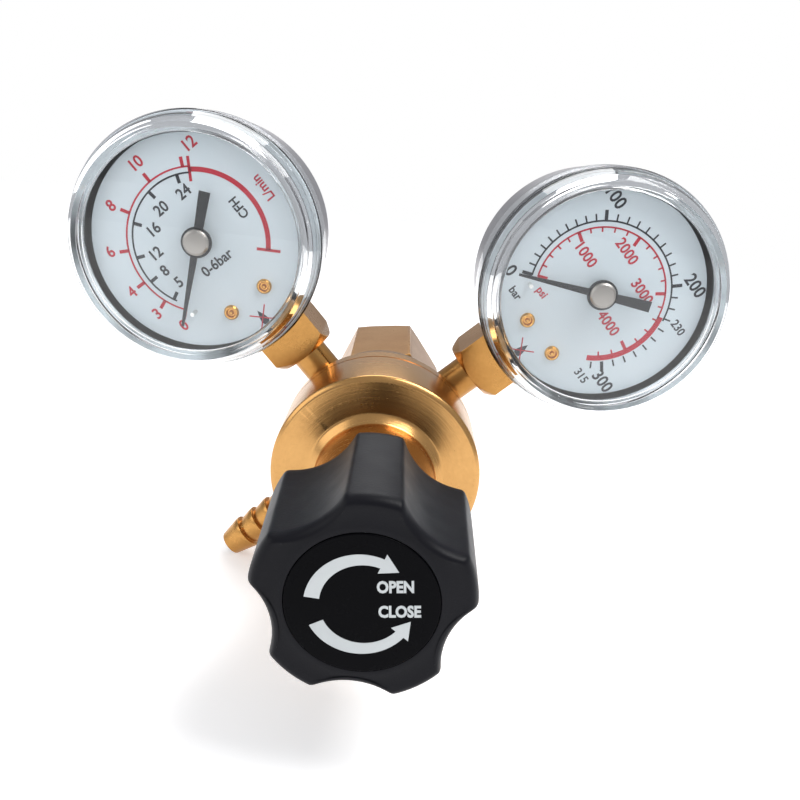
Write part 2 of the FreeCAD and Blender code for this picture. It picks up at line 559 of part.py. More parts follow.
    def socket(self, tube_skin):
        """Square brass stem: threaded neck, shank through the case and slotted block inside it."""
        depth = "dial_plane - port_plane"
        neck = turned([
            ("socket_bore", "0"), ("port_radius", "0"), ("port_radius", "socket_end - fitting_reach"),
            ("socket_bore", "socket_end - fitting_reach")], on_port(self.angle, "fitting_reach"))
        square = self.box("socket_square", "gauge_offset - socket_end - case_radius", "socket_square", depth,
                          "socket_end - gauge_offset")
        diagonal = "socket_square * sqrt(2) / 2"
        trim = turned([
            ("0", "0"), ("socket_square / 2", "0"), (diagonal, "socket_bevel"),
            (diagonal, "gauge_offset - socket_end - case_radius"),
            ("0", "gauge_offset - socket_end - case_radius")], on_port(self.angle, "socket_end"))
        bevelled = doc.addObject("Part::Common", "bevelled")
        bevelled.Base, bevelled.Tool = square, trim
        shank = rod("shank_radius", "case_radius - block_bottom + overrun",
                    on_port(self.angle, "gauge_offset - case_radius"))
        block = self.box("block_width", "block_bottom - block_top", "block_height", depth, "-block_bottom")
        drill = rod("socket_bore", "gauge_offset - socket_end - block_top - 2 * overrun",
                    on_port(self.angle, "socket_end"))
        self.node(cut(joined(neck, bevelled, shank, block), drill, tube_skin), "socket")

    def tube(self):
        """Bourdon tube: a flattened tube bent in a C, from the socket's block round to its free end."""
        inner, outer = "tube_radius - tube_thick / 2", "tube_radius + tube_thick / 2"
        back = "-(dial_plane - port_plane) - tube_depth / 2"
        skin = turned([(inner, "0"), (outer, "0"), (outer, "tube_depth"), (inner, "tube_depth")],
                      self.place(back, turn=180 + self.tube_end()), "tube_sweep")
        hollow = turned([
            (f"{inner} + tube_wall", "tube_wall"), (f"{outer} - tube_wall", "tube_wall"),
            (f"{outer} - tube_wall", "tube_depth - tube_wall"),
            (f"{inner} + tube_wall", "tube_depth - tube_wall")],
            self.place(back, turn=180 + self.tube_end() + measure("tube_plug")), "tube_sweep - tube_plug")
        self.node(cut(skin, hollow), "bourdon_tube")
        return skin

    def tube_end(self):
        """Angle of the Bourdon tube's free end, which is plugged."""
        root = 270 - math.degrees(math.asin(measure("tube_root / tube_radius")))
        return root - measure("tube_sweep")

    def movement(self):
        """Two plates on pillars that carry the sector and the pointer's arbor."""
        corners = [("block_width / 2", "-block_top"), ("plate_half_width", "plate_shoulder - block_top"),
                   ("plate_half_width", "plate_top"), ("-plate_half_width", "plate_top"),
                   ("-plate_half_width", "plate_shoulder - block_top"), ("-block_width / 2", "-block_top")]
        parts = [plate(corners, "movement_plate", self.flat("-plate_front - movement_plate")),
                 plate(corners, "movement_plate", self.flat("-plate_back"))]
        across, low, high = (measure(text) for text in ("pillar_across", "-pillar_low", "pillar_high"))
        for side, up in ((-across, low), (-across, high), (across, high)):
            parts.append(rod("pillar_radius", "plate_back - plate_front",
                             self.place("-plate_back", side, up)))
        parts += self.at_screws("dial_screw_head", "-plate_front", "plate_front - dial_thick")
        holes = [rod("arbor_radius + bearing_gap", "plate_back", self.place("-plate_back - overrun", 0, up))
                 for up in (0, -self.centres())]
        holes += self.at_screws("dial_screw_radius", "-plate_front", "plate_front")
        self.node(cut(joined(*parts), *holes), "movement_frame")

    def centres(self):
        """Distance between the pointer's axis and the sector's."""
        return measure("gear_module * (pinion_teeth + sector_teeth) / 2")

    def toothed(self, teeth, first, last, phase):
        """Points of a toothed rim, as the user sees it, with the given teeth from first to last."""
        module = measure("gear_module")
        pitch_radius, step = module * teeth / 2, 360 / teeth
        tip = pitch_radius + measure("tooth_tip") * module
        root = pitch_radius - measure("tooth_root") * module
        points = []
        for index in range(first, last + 1):
            middle = phase + index * step
            for radius, share in ((root, -0.27), (tip, -0.1), (tip, 0.1), (root, 0.27)):
                points.append(ray(middle + share * step) * radius)
        return points

    def gears(self):
        """Sector, pinion arbor, hairspring and the link to the Bourdon tube."""
        arbor_length = "plate_back + pointer_height"
        module = measure("gear_module")
        leaf = self.toothed(int(measure("pinion_teeth")), 0, int(measure("pinion_teeth")) - 1,
                            270 + 180 / measure("pinion_teeth"))
        thick = measure("sector_thick")
        extra = measure("pinion_extra")
        pinion = Part.Face(Part.makePolygon(leaf + leaf[:1])).extrude(-Y_AXIS * (thick + 2 * extra))
        pinion.translate(Y_AXIS * (measure("sector_depth") + thick + extra))
        arbor = Part.makeCylinder(measure("arbor_radius"), measure(arbor_length),
                                  Y_AXIS * measure("plate_back"), -Y_AXIS)
        self.node(shaped(pinion.fuse(arbor).removeSplitter(), self.frame), "pinion")

        swing = 270 * measure("pinion_teeth / sector_teeth")
        step = 360 / measure("sector_teeth")
        last = math.ceil(swing / step) + 1
        rim = self.toothed(int(measure("sector_teeth")), -last, 1, 90)
        hub = measure("sector_hub")
        left, right = ray(90 + 1.5 * step) * hub, ray(90 - (last + 0.5) * step) * hub
        web = Part.Face(Part.makePolygon([right, *rim, left, FreeCAD.Vector(), right]))
        web = web.extrude(-Y_AXIS * thick)
        disc = Part.makeCylinder(hub, thick, FreeCAD.Vector(), -Y_AXIS)
        tail_end = ray(-swing / 2) * measure("tail_length")
        width = measure("link_width")
        tail = Part.makeBox(measure("tail_length"), thick, width, FreeCAD.Vector(0, -thick, -width / 2))
        tail.rotate(FreeCAD.Vector(), Y_AXIS, swing / 2)
        eye = Part.makeCylinder(width / 2, thick, tail_end, -Y_AXIS)
        pin = Part.makeCylinder(width / 4, thick + measure("link_space + 1.5 * link_thick"),
                                tail_end, -Y_AXIS)
        shaft = Part.makeCylinder(measure("arbor_radius"), measure("plate_back - plate_front"),
                                  Y_AXIS * measure("plate_back - sector_depth - sector_thick"), -Y_AXIS)
        sector = web.multiFuse([disc, tail, eye, pin, shaft]).removeSplitter()
        pivot = FreeCAD.Vector(0, measure("sector_depth + sector_thick"), -self.centres())
        self.node(shaped(sector, self.frame.multiply(FreeCAD.Placement(pivot, FreeCAD.Rotation()))), "sector")

        start = pivot + tail_end - Y_AXIS * (thick + measure("link_thick + link_space"))
        reach = ray(self.tube_end() + measure("tube_plug") / 2) * measure("tube_radius") - start
        self.link(start, math.hypot(reach.x, reach.z), math.degrees(math.atan2(reach.z, reach.x)))
        self.hairspring()

    def link(self, start, reach, slope):
        """Flat link from the sector's tail pin to the Bourdon tube's free end."""
        width, thick = measure("link_width"), measure("link_thick")
        bar = Part.makeBox(reach, thick, width, FreeCAD.Vector(0, 0, -width / 2))
        ends = [Part.makeCylinder(width / 2, thick, X_AXIS * spot, Y_AXIS) for spot in (0, reach)]
        eye = Part.makeCylinder(width / 4 + measure("bearing_gap"), thick, FreeCAD.Vector(), Y_AXIS)
        flat_link = bar.multiFuse(ends).cut(eye).removeSplitter()
        aim = FreeCAD.Placement(start, FreeCAD.Rotation(Y_AXIS, -slope))
        self.node(shaped(flat_link, self.frame.multiply(aim)), "link")

    def hairspring(self):
        """Flat spiral of half turns about the arbor, each a little wider than the last."""
        radius, step = measure("hairspring_inner"), measure("hairspring_step")
        strip, height = measure("hairspring_strip"), measure("hairspring_height")
        halves = []
        for index in range(int(measure("hairspring_halves"))):
            strip_face = Part.makePlane(strip, height, FreeCAD.Vector(radius - strip / 2, 0, 0), Z_AXIS)
            half = strip_face.revolve(FreeCAD.Vector(), Y_AXIS, 180)
            half.rotate(FreeCAD.Vector(), Y_AXIS, 180 * (index % 2))
            half.translate(X_AXIS * (step / 2 * (index % 2)))
            radius += step / 2
            halves.append(half)
        spiral = halves[0].multiFuse(halves[1:]).removeSplitter()
        self.node(shaped(spiral, self.place("-hairspring_depth")), "hairspring")


inlet()
body_and_bonnet()
valve()
range_spring()
knob()
outlet()
relief_valve()
for prefix, angle in GAUGE_ANGLES.items():
    Gauge(prefix, angle).build()

doc.recompute()
for item in doc.Objects:
    if {"Invalid", "Error"} & set(item.State):
        raise RuntimeError(f"{item.Label} did not recompute")
for item in nodes:
    if item.Shape.isNull() or not item.Shape.isValid():
        raise RuntimeError(f"{item.Label} has no valid shape")

os.makedirs("parts", exist_ok=True)
for item in nodes:
    item.Shape.exportStep(f"parts/{item.Label}.step")
print(len(nodes), "nodes written")
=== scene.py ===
import logging
import math
from dataclasses import dataclass, field
from enum import Enum
from typing import Sequence

import bmesh
import bpy
import numpy as np
from mathutils import Matrix, Vector


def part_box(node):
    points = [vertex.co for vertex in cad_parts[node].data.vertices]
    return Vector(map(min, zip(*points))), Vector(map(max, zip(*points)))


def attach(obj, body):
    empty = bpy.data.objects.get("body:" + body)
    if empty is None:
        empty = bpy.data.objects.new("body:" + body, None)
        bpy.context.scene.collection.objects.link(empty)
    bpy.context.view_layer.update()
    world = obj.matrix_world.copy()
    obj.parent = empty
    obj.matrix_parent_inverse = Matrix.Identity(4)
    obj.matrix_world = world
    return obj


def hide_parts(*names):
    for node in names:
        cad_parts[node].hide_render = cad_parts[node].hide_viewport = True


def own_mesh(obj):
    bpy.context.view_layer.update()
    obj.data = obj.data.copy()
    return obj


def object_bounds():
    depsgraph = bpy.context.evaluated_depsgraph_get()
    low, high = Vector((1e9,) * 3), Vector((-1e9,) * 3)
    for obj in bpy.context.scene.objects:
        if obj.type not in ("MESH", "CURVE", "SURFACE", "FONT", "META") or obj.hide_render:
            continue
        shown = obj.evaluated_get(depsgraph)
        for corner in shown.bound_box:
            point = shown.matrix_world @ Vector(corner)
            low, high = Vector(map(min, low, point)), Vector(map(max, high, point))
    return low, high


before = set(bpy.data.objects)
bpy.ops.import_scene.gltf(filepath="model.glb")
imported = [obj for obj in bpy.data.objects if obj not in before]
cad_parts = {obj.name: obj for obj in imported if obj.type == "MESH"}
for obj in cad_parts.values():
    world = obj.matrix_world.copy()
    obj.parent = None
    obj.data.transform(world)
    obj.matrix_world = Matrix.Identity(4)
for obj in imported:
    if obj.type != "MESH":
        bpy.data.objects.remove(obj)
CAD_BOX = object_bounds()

# The looks of a two-gauge carbon dioxide regulator. Sizes are in millimetres in the regulator's own
# frame: +Y leaves the inlet nut, -Y points at the user and +Z is up. A station is a distance forward
# of the nut's mouth. Angles are counted as the user sees them, anticlockwise from the right.

MM = 0.001
MERGE = 2e-6  # points nearer than this, in metres, are one
LOG = logging.getLogger("regulator")
Colour = tuple[float, float, float, float]


class Slot(Enum):
    """The material slots of the part's record."""

    SATIN_BRASS = "satin_brass"
    TURNED_BRASS = "turned_brass"
    MOVEMENT_BRASS = "movement_brass"
    RUBBER = "black_rubber"
    STEEL = "bright_steel"
    SPRING = "spring_steel"
    KNOB = "knob_plastic"
    LABEL = "knob_label"
    PLATED = "plated_steel"
    LENS = "clear_lens"
    DIAL = "dial_face"
    POINTER = "pointer_black"


class Side(Enum):
    """Which of the two gauges: the low pressure one stands to the left."""

    LOW = "low"
    HIGH = "high"


# ---- where things are ----

@dataclass(frozen=True)
class Place:
    """A sub-assembly's own axes in the frame. Its own z is the axis that its pieces are turned about."""

    origin: tuple[float, float, float]
    across: tuple[float, float, float]
    up: tuple[float, float, float]
    forward: tuple[float, float, float]

    def put(self, points: np.ndarray) -> np.ndarray:
        """Carry own points into the frame: origin + x * across + y * up + z * forward, in metres.

        Args:
            points: own points in millimetres, one to a row.

        Returns:
            The same points in the frame, in metres.
        """
        axes = np.array([self.across, self.up, self.forward])
        return (np.array(self.origin) + points @ axes) * MM


MAIN = Place((0, 0, 0), (1, 0, 0), (0, 0, 1), (0, -1, 0))


# ---- surfaces ----

@dataclass
class Surface:
    """Points in millimetres and the faces that join them."""

    points: np.ndarray
    faces: list[Sequence[int]]


def grid(points: np.ndarray, close_rows: bool = True, close_columns: bool = True) -> Surface:
    """Join a grid of points with four-sided faces, each between rows i, i + 1 and columns j, j + 1.

    Args:
        points: array of shape (rows, columns, 3).
        close_rows: whether the last row joins the first.
        close_columns: whether the last column joins the first.

    Returns:
        The surface.
    """
    rows, columns = points.shape[:2]
    i = np.arange(rows if close_rows else rows - 1)[:, None]
    j = np.arange(columns if close_columns else columns - 1)[None, :]
    below, right = (i + 1) % rows, (j + 1) % columns
    corners = (i * columns + j, i * columns + right, below * columns + right, below * columns + j)
    quads = np.stack(np.broadcast_arrays(*corners), -1).reshape(-1, 4)
    return Surface(points.reshape(-1, 3), quads.tolist())


def swept(sections: np.ndarray) -> Surface:
    """A solid through a row of closed outlines, with both ends capped.

    Args:
        sections: array of shape (stations along the path, points of the outline, 3).

    Returns:
        The closed surface.
    """
    count, ring = sections.shape[:2]
    skin = grid(sections, close_rows=False)
    skin.faces += [list(range(ring))[::-1], list(range((count - 1) * ring, count * ring))]
    return skin


def merged(surfaces: Sequence[Surface]) -> Surface:
    """Several surfaces as one, each keeping its own points."""
    faces: list[Sequence[int]] = []
    start = 0
    for surface in surfaces:
        faces += [[start + corner for corner in face] for face in surface.faces]
        start += len(surface.points)
    return Surface(np.concatenate([surface.points for surface in surfaces]), faces)


def shifted(surface: Surface, x: float, y: float, turn: float = 0.0) -> Surface:
    """A surface turned about its own z by an angle in degrees, and then moved by x and y."""
    c, s = math.cos(math.radians(turn)), math.sin(math.radians(turn))
    spin = np.array([[c, s, 0], [-s, c, 0], [0, 0, 1]])
    return Surface(surface.points @ spin + (x, y, 0), surface.faces)


def rounded(corners: Sequence[tuple[float, float, float]], steps: int = 5, closed: bool = True) -> np.ndarray:
    """Round the corners of a profile. Each corner gives way to a quadratic curve that touches both of its
    sides as far from the corner as an arc would: at radius / tan(half the corner's angle).

    Args:
        corners: (radius from the axis, distance along it, corner radius) in millimetres.
        steps: how many runs each curve has.
        closed: whether the last corner joins the first.

    Returns:
        Array of (radius from the axis, distance along it) points.
    """
    spots = np.array([corner[:2] for corner in corners], float)
    path: list[np.ndarray] = []
    count = len(spots)
    for index, (spot, size) in enumerate(zip(spots, (corner[2] for corner in corners))):
        end = not closed and index in (0, count - 1)
        if size <= 0 or end:
            path.append(spot[None])
            continue
        before, after = spots[index - 1] - spot, spots[(index + 1) % count] - spot
        a, b = before / np.linalg.norm(before), after / np.linalg.norm(after)
        half = math.acos(float(np.clip(a @ b, -1, 1))) / 2
        reach = min(size / math.tan(half), 0.49 * np.linalg.norm(before), 0.49 * np.linalg.norm(after))
        share = np.linspace(0, 1, steps + 1)[:, None]
        # (1 - t)^2 a + 2 t (1 - t) corner + t^2 b, between the two touching points a and b.
        path.append((1 - share) ** 2 * (spot + a * reach) + 2 * share * (1 - share) * spot
                    + share ** 2 * (spot + b * reach))
    return np.concatenate(path)


def turned(profile: np.ndarray, steps: int = 180, closed: bool = True) -> Surface:
    """Turn a profile about z: a point at radius r and height h goes to (r cos t, r sin t, h).

    Args:
        profile: (radius, height) points.
        steps: runs round the axis.
        closed: whether the profile closes on itself, rather than starting and ending on the axis.

    Returns:
        The turned surface.
    """
    t = np.linspace(0, 2 * math.pi, steps, endpoint=False)
    radius, height = profile[:, 0][:, None], profile[:, 1][:, None]
    points = np.stack([radius * np.cos(t), radius * np.sin(t), height + 0 * t], -1)
    return grid(points, close_rows=closed)


def arc_band(inner: float, outer: float, first: float, last: float, low: float, high: float) -> Surface:
    """A flat band along an arc: the outline (inner, low) to (outer, high) carried round from one angle to
    another.

    Args:
        inner: inner radius.
        outer: outer radius.
        first: start angle in degrees.
        last: end angle in degrees.
        low: height of its underside.
        high: height of its top.

    Returns:
        The closed band.
    """
    t = np.radians(np.linspace(first, last, max(2, int(abs(last - first) / 2) + 1)))[:, None]
    radius, height = np.array([inner, outer, outer, inner]), np.array([low, low, high, high])
    return swept(np.stack([radius * np.cos(t), radius * np.sin(t), height + 0 * t], -1))


def bar(start: tuple[float, float], end: tuple[float, float], width: float, low: float, high: float,
        end_width: float | None = None) -> Surface:
    """A straight flat bar from one point to another, which may taper.

    Args:
        start: where its middle starts.
        end: where its middle ends.
        width: its width at the start.
        low: height of its underside.
        high: height of its top.
        end_width: its width at the end, if that is different.

    Returns:
        The closed bar.
    """
    a, b = np.array(start, float), np.array(end, float)
    along = (b - a) / np.linalg.norm(b - a)
    side = np.array([-along[1], along[0]])
    widths = (width, width if end_width is None else end_width)
    sections = [[(*(spot - side * w / 2), low), (*(spot + side * w / 2), low),
                 (*(spot + side * w / 2), high), (*(spot - side * w / 2), high)]
                for spot, w in zip((a, b), widths)]
    return swept(np.array(sections))


def polar(radius: float, angle: float) -> tuple[float, float]:
    """The point at a radius and an angle in degrees."""
    return radius * math.cos(math.radians(angle)), radius * math.sin(math.radians(angle))


def outline_plate(outline: np.ndarray, low: float, high: float) -> Surface:
    """A flat plate between two heights, with a closed outline of (x, y) points."""
    lower = np.column_stack([outline, np.full(len(outline), low)])
    upper = np.column_stack([outline, np.full(len(outline), high)])
    return swept(np.stack([lower, upper]))


def lettering(text: str, height: float, low: float, high: float, weight: float = 0.03,
              squeeze: float = 1.0) -> Surface:
    """Raised lettering, centred on the origin, of which a digit has the given height.

    Args:
        text: the characters.
        height: height of a digit.
        low: height of the underside.
        high: height of the top.
        weight: how much each stroke grows on either side, as a share of the type size.
        squeeze: how narrow the letters are made, as a share of their width.

    Returns:
        The lettering's surface.
    """
    digit = 0.70 + 2 * weight  # height of a digit in the built-in face, as a share of the type size
    curve = bpy.data.curves.new("type", "FONT")
    curve.body, curve.extrude, curve.bevel_depth, curve.resolution_u = text, 0.5, weight, 3
    curve.bevel_resolution = 0
    holder = bpy.data.objects.new("type", curve)
    bpy.context.scene.collection.objects.link(holder)
    bpy.context.view_layer.update()
    mesh = bpy.data.meshes.new_from_object(holder.evaluated_get(bpy.context.evaluated_depsgraph_get()))
    points = np.zeros(len(mesh.vertices) * 3, np.float32)
    mesh.vertices.foreach_get("co", points)
    points = points.reshape(-1, 3).astype(float)
    faces = [list(face.vertices) for face in mesh.polygons]
    bpy.data.objects.remove(holder)
    bpy.data.curves.remove(curve)
    bpy.data.meshes.remove(mesh)
    middle = (points.min(0) + points.max(0)) / 2
    scale = (squeeze * height / digit, height / digit, (high - low) / np.ptp(points[:, 2]))
    points = (points - middle) * scale + (0, 0, (low + high) / 2)
    return Surface(points, faces)


# ---- making pieces ----

def tidy_mesh(mesh: bpy.types.Mesh, merge: float, angle: float, outwards: bool = True,
              flats: float = 0.0) -> None:
    """Merge doubled points, turn the faces outwards and smooth all but the sharp edges.

    Args:
        mesh: the mesh to tidy.
        merge: distance below which two points are one, in metres.
        angle: edges above this angle in degrees stay sharp.
        outwards: whether to work out afresh which way the faces point.
        flats: faces that meet within this angle in degrees become one.
    """
    work = bmesh.new()
    work.from_mesh(mesh)
    bmesh.ops.remove_doubles(work, verts=work.verts, dist=merge)
    if flats:
        bmesh.ops.dissolve_limit(work, angle_limit=math.radians(flats), verts=work.verts, edges=work.edges)
    if outwards:
        bmesh.ops.recalc_face_normals(work, faces=work.faces)
    work.to_mesh(mesh)
    work.free()
    mesh.shade_smooth()
    mesh.set_sharp_from_angle(angle=math.radians(angle))


def fit_out(piece: bpy.types.Object, body: str, material: bpy.types.Material,
            nodes: Sequence[str]) -> bpy.types.Object:
    """Dress a piece, put it on its body and let it stand for its CAD nodes.

    Args:
        piece: the new object.
        body: the CAD body that it rides on.
        material: its finish.
        nodes: the CAD nodes that it replaces.

    Returns:
        The piece.
    """
    piece.data.materials.clear()
    piece.data.materials.append(material)
    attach(piece, body)
    if nodes:
        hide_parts(*nodes)
    LOG.info("%s: %d faces on %s", piece.name, len(piece.data.polygons), body)
    return piece


def make(name: str, surface: Surface, place: Place, body: str, material: bpy.types.Material,
         nodes: Sequence[str] = (), angle: float = 32.0) -> bpy.types.Object:
    """Make a piece from a surface in a sub-assembly's own axes.

    Args:
        name: the piece's name.
        surface: its surface, in millimetres.
        place: the axes that the surface is drawn in.
        body: the CAD body that it rides on.
        material: its finish.
        nodes: the CAD nodes that it replaces.
        angle: edges above this angle in degrees stay sharp.

    Returns:
        The new piece.
    """
    mesh = bpy.data.meshes.new(name)
    mesh.from_pydata(place.put(surface.points).tolist(), [], surface.faces)
    tidy_mesh(mesh, MERGE, angle)
    piece = bpy.data.objects.new(name, mesh)
    bpy.context.scene.collection.objects.link(piece)
    return fit_out(piece, body, material, nodes)


def eased(node: str, body: str, material: bpy.types.Material, ease: float = 0.25,
          angle: float = 30.0) -> bpy.types.Object:
    """A copy of a CAD node with its edges eased by a small rounding, as tumbling and plating leave them.

    Args:
        node: the CAD node, which the copy replaces.
        body: the CAD body that it rides on.
        material: its finish.
        ease: width of the rounding in millimetres.
        angle: edges above this angle in degrees are eased.

    Returns:
        The new piece.
    """
    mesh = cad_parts[node].data.copy()
    mesh.name = f"{node}_eased"
    tidy_mesh(mesh, MERGE, angle, outwards=False, flats=0.4)
    piece = bpy.data.objects.new(f"{node}_eased", mesh)
    bpy.context.scene.collection.objects.link(piece)
    if ease:
        rounding = piece.modifiers.new("eased_edges", "BEVEL")
        rounding.width, rounding.segments = ease * MM, 2
        rounding.limit_method, rounding.angle_limit = "ANGLE", math.radians(angle)
        rounding.use_clamp_overlap, rounding.harden_normals = True, True
    return fit_out(piece, body, material, [node])


# ---- finishes ----

class Signal:
    """A value inside a material: one socket, and arithmetic that adds Math nodes after it."""

    def __init__(self, bench: "Bench", socket: bpy.types.NodeSocket) -> None:
        """Wrap an output socket of the bench's material."""
        self.bench = bench
        self.socket = socket

    def _with(self, operation: str, first: object, second: object) -> "Signal":
        """The result of one Math node."""
        return self.bench.value("ShaderNodeMath", {"operation": operation}, {0: first, 1: second})

    def __add__(self, other: object) -> "Signal":
        """self + other."""
        return self._with("ADD", self, other)

    __radd__ = __add__

    def __sub__(self, other: object) -> "Signal":
        """self - other."""
        return self._with("SUBTRACT", self, other)

    def __rsub__(self, other: object) -> "Signal":
        """other - self."""
        return self._with("SUBTRACT", other, self)

    def __mul__(self, other: object) -> "Signal":
        """self * other."""
        return self._with("MULTIPLY", self, other)

    __rmul__ = __mul__

    def __pow__(self, power: float) -> "Signal":
        """self raised to a power."""
        return self._with("POWER", self, power)

    def clamped(self) -> "Signal":
        """Kept between 0 and 1."""
        return self.bench.value("ShaderNodeClamp", {}, {"Value": self})


class Bench:
    """Where one material is put together."""

    def __init__(self, name: str) -> None:
        """Start an empty material."""
        self.material = bpy.data.materials.new(name)
        self.material.use_nodes = True
        self.tree = self.material.node_tree
        self.tree.nodes.clear()

    def node(self, kind: str, settings: dict[str, object], inputs: dict[object, object]) -> bpy.types.Node:
        """Add a node of any kind.

        Args:
            kind: the node's type.
            settings: its own settings, which are set first; "stops" gives a ramp's (place, colour) pairs.
            inputs: values, or signals to link, by the socket's name or number.

        Returns:
            The node.
        """
        node = self.tree.nodes.new(kind)
        for key, setting in settings.items():
            if key == "stops":
                ramp = node.color_ramp
                for index, (spot, colour) in enumerate(setting):
                    stop = ramp.elements[index] if index < 2 else ramp.elements.new(spot)
                    stop.position, stop.color = spot, colour
            else:
                setattr(node, key, setting)
        for key, given in inputs.items():
            if isinstance(given, Signal):
                self.tree.links.new(given.socket, node.inputs[key])
            else:
                node.inputs[key].default_value = given
        return node

    def value(self, kind: str, settings: dict[str, object], inputs: dict[object, object],
              output: int = 0) -> Signal:
        """Add a node and give one of its outputs."""
        return Signal(self, self.node(kind, settings, inputs).outputs[output])

    def here(self) -> Signal:
        """The point on the piece, in the frame's metres."""
        return self.value("ShaderNodeTexCoord", {}, {}, output=3)

    def noise(self, scale: float, detail: float = 3.0, vector: Signal | None = None) -> Signal:
        """Soft noise with so many features to the metre."""
        return self.value("ShaderNodeTexNoise", {}, {"Vector": vector or self.here(), "Scale": scale,
                                                     "Detail": detail})

    def mix(self, factor: object, first: object, second: object) -> Signal:
        """A colour between two, by a factor from 0 to 1."""
        return self.value("ShaderNodeMix", {"data_type": "RGBA"}, {0: factor, 6: first, 7: second}, output=2)

    def lines(self, centre: tuple[float, float], pitch: float) -> Signal:
        """Turning marks about an axis along Y through (x, z): noise of the radius from that axis and the
        distance along it, so that it is the same all the way round.

        Args:
            centre: where the axis crosses the XZ plane, in millimetres.
            pitch: spacing of the marks in millimetres.

        Returns:
            The marks, from 0 to 1.
        """
        spot = self.value("ShaderNodeVectorMath", {"operation": "SUBTRACT"},
                          {0: self.here(), 1: (centre[0] * MM, 0.0, centre[1] * MM)})
        parts = self.node("ShaderNodeSeparateXYZ", {}, {0: spot})
        x, y, z = (Signal(self, socket) for socket in parts.outputs)
        radius = (x * x + z * z) ** 0.5
        flat = self.value("ShaderNodeCombineXYZ", {}, {0: radius, 1: y, 2: 0.0})
        return self.noise(1 / (pitch * MM), 2.0, flat)

    def bump(self, height: Signal, depth: float) -> Signal:
        """A bumped surface normal, from a height of 0 to 1 and its depth in millimetres."""
        return self.value("ShaderNodeBump", {}, {"Height": height, "Strength": 1.0, "Distance": depth * MM})

    def finish(self, shader: bpy.types.Node) -> bpy.types.Material:
        """Join the last shader to the output and give the material."""
        output = self.node("ShaderNodeOutputMaterial", {}, {})
        self.tree.links.new(shader.outputs[0], output.inputs["Surface"])
        return self.material


@dataclass(frozen=True)
class Metal:
    """A metal finish, with stains, grain and, where it was turned on a lathe, fine lines round its axis."""

    name: str
    light: Colour
    dark: Colour
    roughness: float
    grain: float = 0.01
    stain: float = 1.0
    pitch: float = 0.0
    line_depth: float = 0.0
    centre: tuple[float, float] = (0.0, 0.0)

    def material(self) -> bpy.types.Material:
        """Make the finish."""
        bench = Bench(self.name)
        patches = bench.noise(90.0, 4.0)
        specks = bench.noise(1400.0, 3.0)
        edge = ((bench.value("ShaderNodeNewGeometry", {}, {}, output=7) - 0.52) * 9.0).clamped()
        tone = (patches * 1.5 * self.stain + specks * 0.35 - 0.55 * self.stain).clamped()
        colour = bench.mix(tone, self.light, self.dark)
        bright = tuple(min(1.0, 1.12 * part) for part in self.light[:3]) + (1.0,)
        colour = bench.mix(edge * 0.7, colour, bright)
        rough = self.roughness * (0.72 + patches * 0.4 + specks * 0.2) - edge * 0.08
        height = specks
        depth = self.grain
        if self.line_depth:
            marks = bench.lines(self.centre, self.pitch)
            height = marks + specks * (self.grain / self.line_depth)
            depth = self.line_depth
            rough = rough + marks * 0.08
        return bench.finish(bench.node("ShaderNodeBsdfPrincipled", {}, {
            "Base Color": colour, "Metallic": 1.0, "Roughness": rough, "Normal": bench.bump(height, depth)}))


@dataclass(frozen=True)
class Moulded:
    """Plastic, rubber, paint or enamel: a colour with a little drift, and a moulded or sprayed grain. It may
    glow a little by itself."""

    name: str
    colour: Colour
    shade: Colour
    roughness: float
    grain_size: float = 0.3
    grain: float = 0.01
    coat: float = 0.0
    drift: float = 60.0
    gloss: float = 0.5
    contrast: float = 1.3
    glow: float = 0.0

    def material(self) -> bpy.types.Material:
        """Make the finish."""
        bench = Bench(self.name)
        drift = bench.noise(self.drift, 3.0)
        grain = bench.noise(1 / (self.grain_size * MM), 2.0)
        smears = bench.noise(220.0, 5.0)
        colour = bench.mix(((drift - 0.5) * self.contrast + 0.5).clamped(), self.colour, self.shade)
        rough = self.roughness * (0.8 + smears * 0.4) + grain * 0.04
        return bench.finish(bench.node("ShaderNodeBsdfPrincipled", {}, {
            "Base Color": colour, "Roughness": rough, "Coat Weight": self.coat, "Coat Roughness": 0.08,
            "Specular IOR Level": self.gloss, "Emission Color": self.colour, "Emission Strength": self.glow,
            "Normal": bench.bump(grain, self.grain)}))


@dataclass(frozen=True)
class Clear:
    """Clear moulded plastic that lets the light through to the dial behind it."""

    name: str
    tint: Colour
    bend: float = 1.45

    def material(self) -> bpy.types.Material:
        """Make the finish."""
        bench = Bench(self.name)
        smears = bench.noise(160.0, 4.0)
        rough = (smears * 0.06 - 0.015).clamped()
        glass = bench.node("ShaderNodeBsdfPrincipled", {}, {
            "Base Color": bench.mix((smears * 0.5).clamped(), self.tint, (0.9, 0.95, 0.97, 1.0)),
            "Roughness": rough, "IOR": self.bend, "Transmission Weight": 1.0,
            "Normal": bench.bump(bench.noise(60.0, 1.0), 0.02)})
        open_way = bench.node("ShaderNodeBsdfTransparent", {}, {"Color": (0.94, 0.96, 0.97, 1.0)})
        shadow = bench.value("ShaderNodeLightPath", {}, {}, output=1)
        both = bench.node("ShaderNodeMixShader", {}, {0: shadow})
        bench.tree.links.new(glass.outputs[0], both.inputs[1])
        bench.tree.links.new(open_way.outputs[0], both.inputs[2])
        return bench.finish(both)


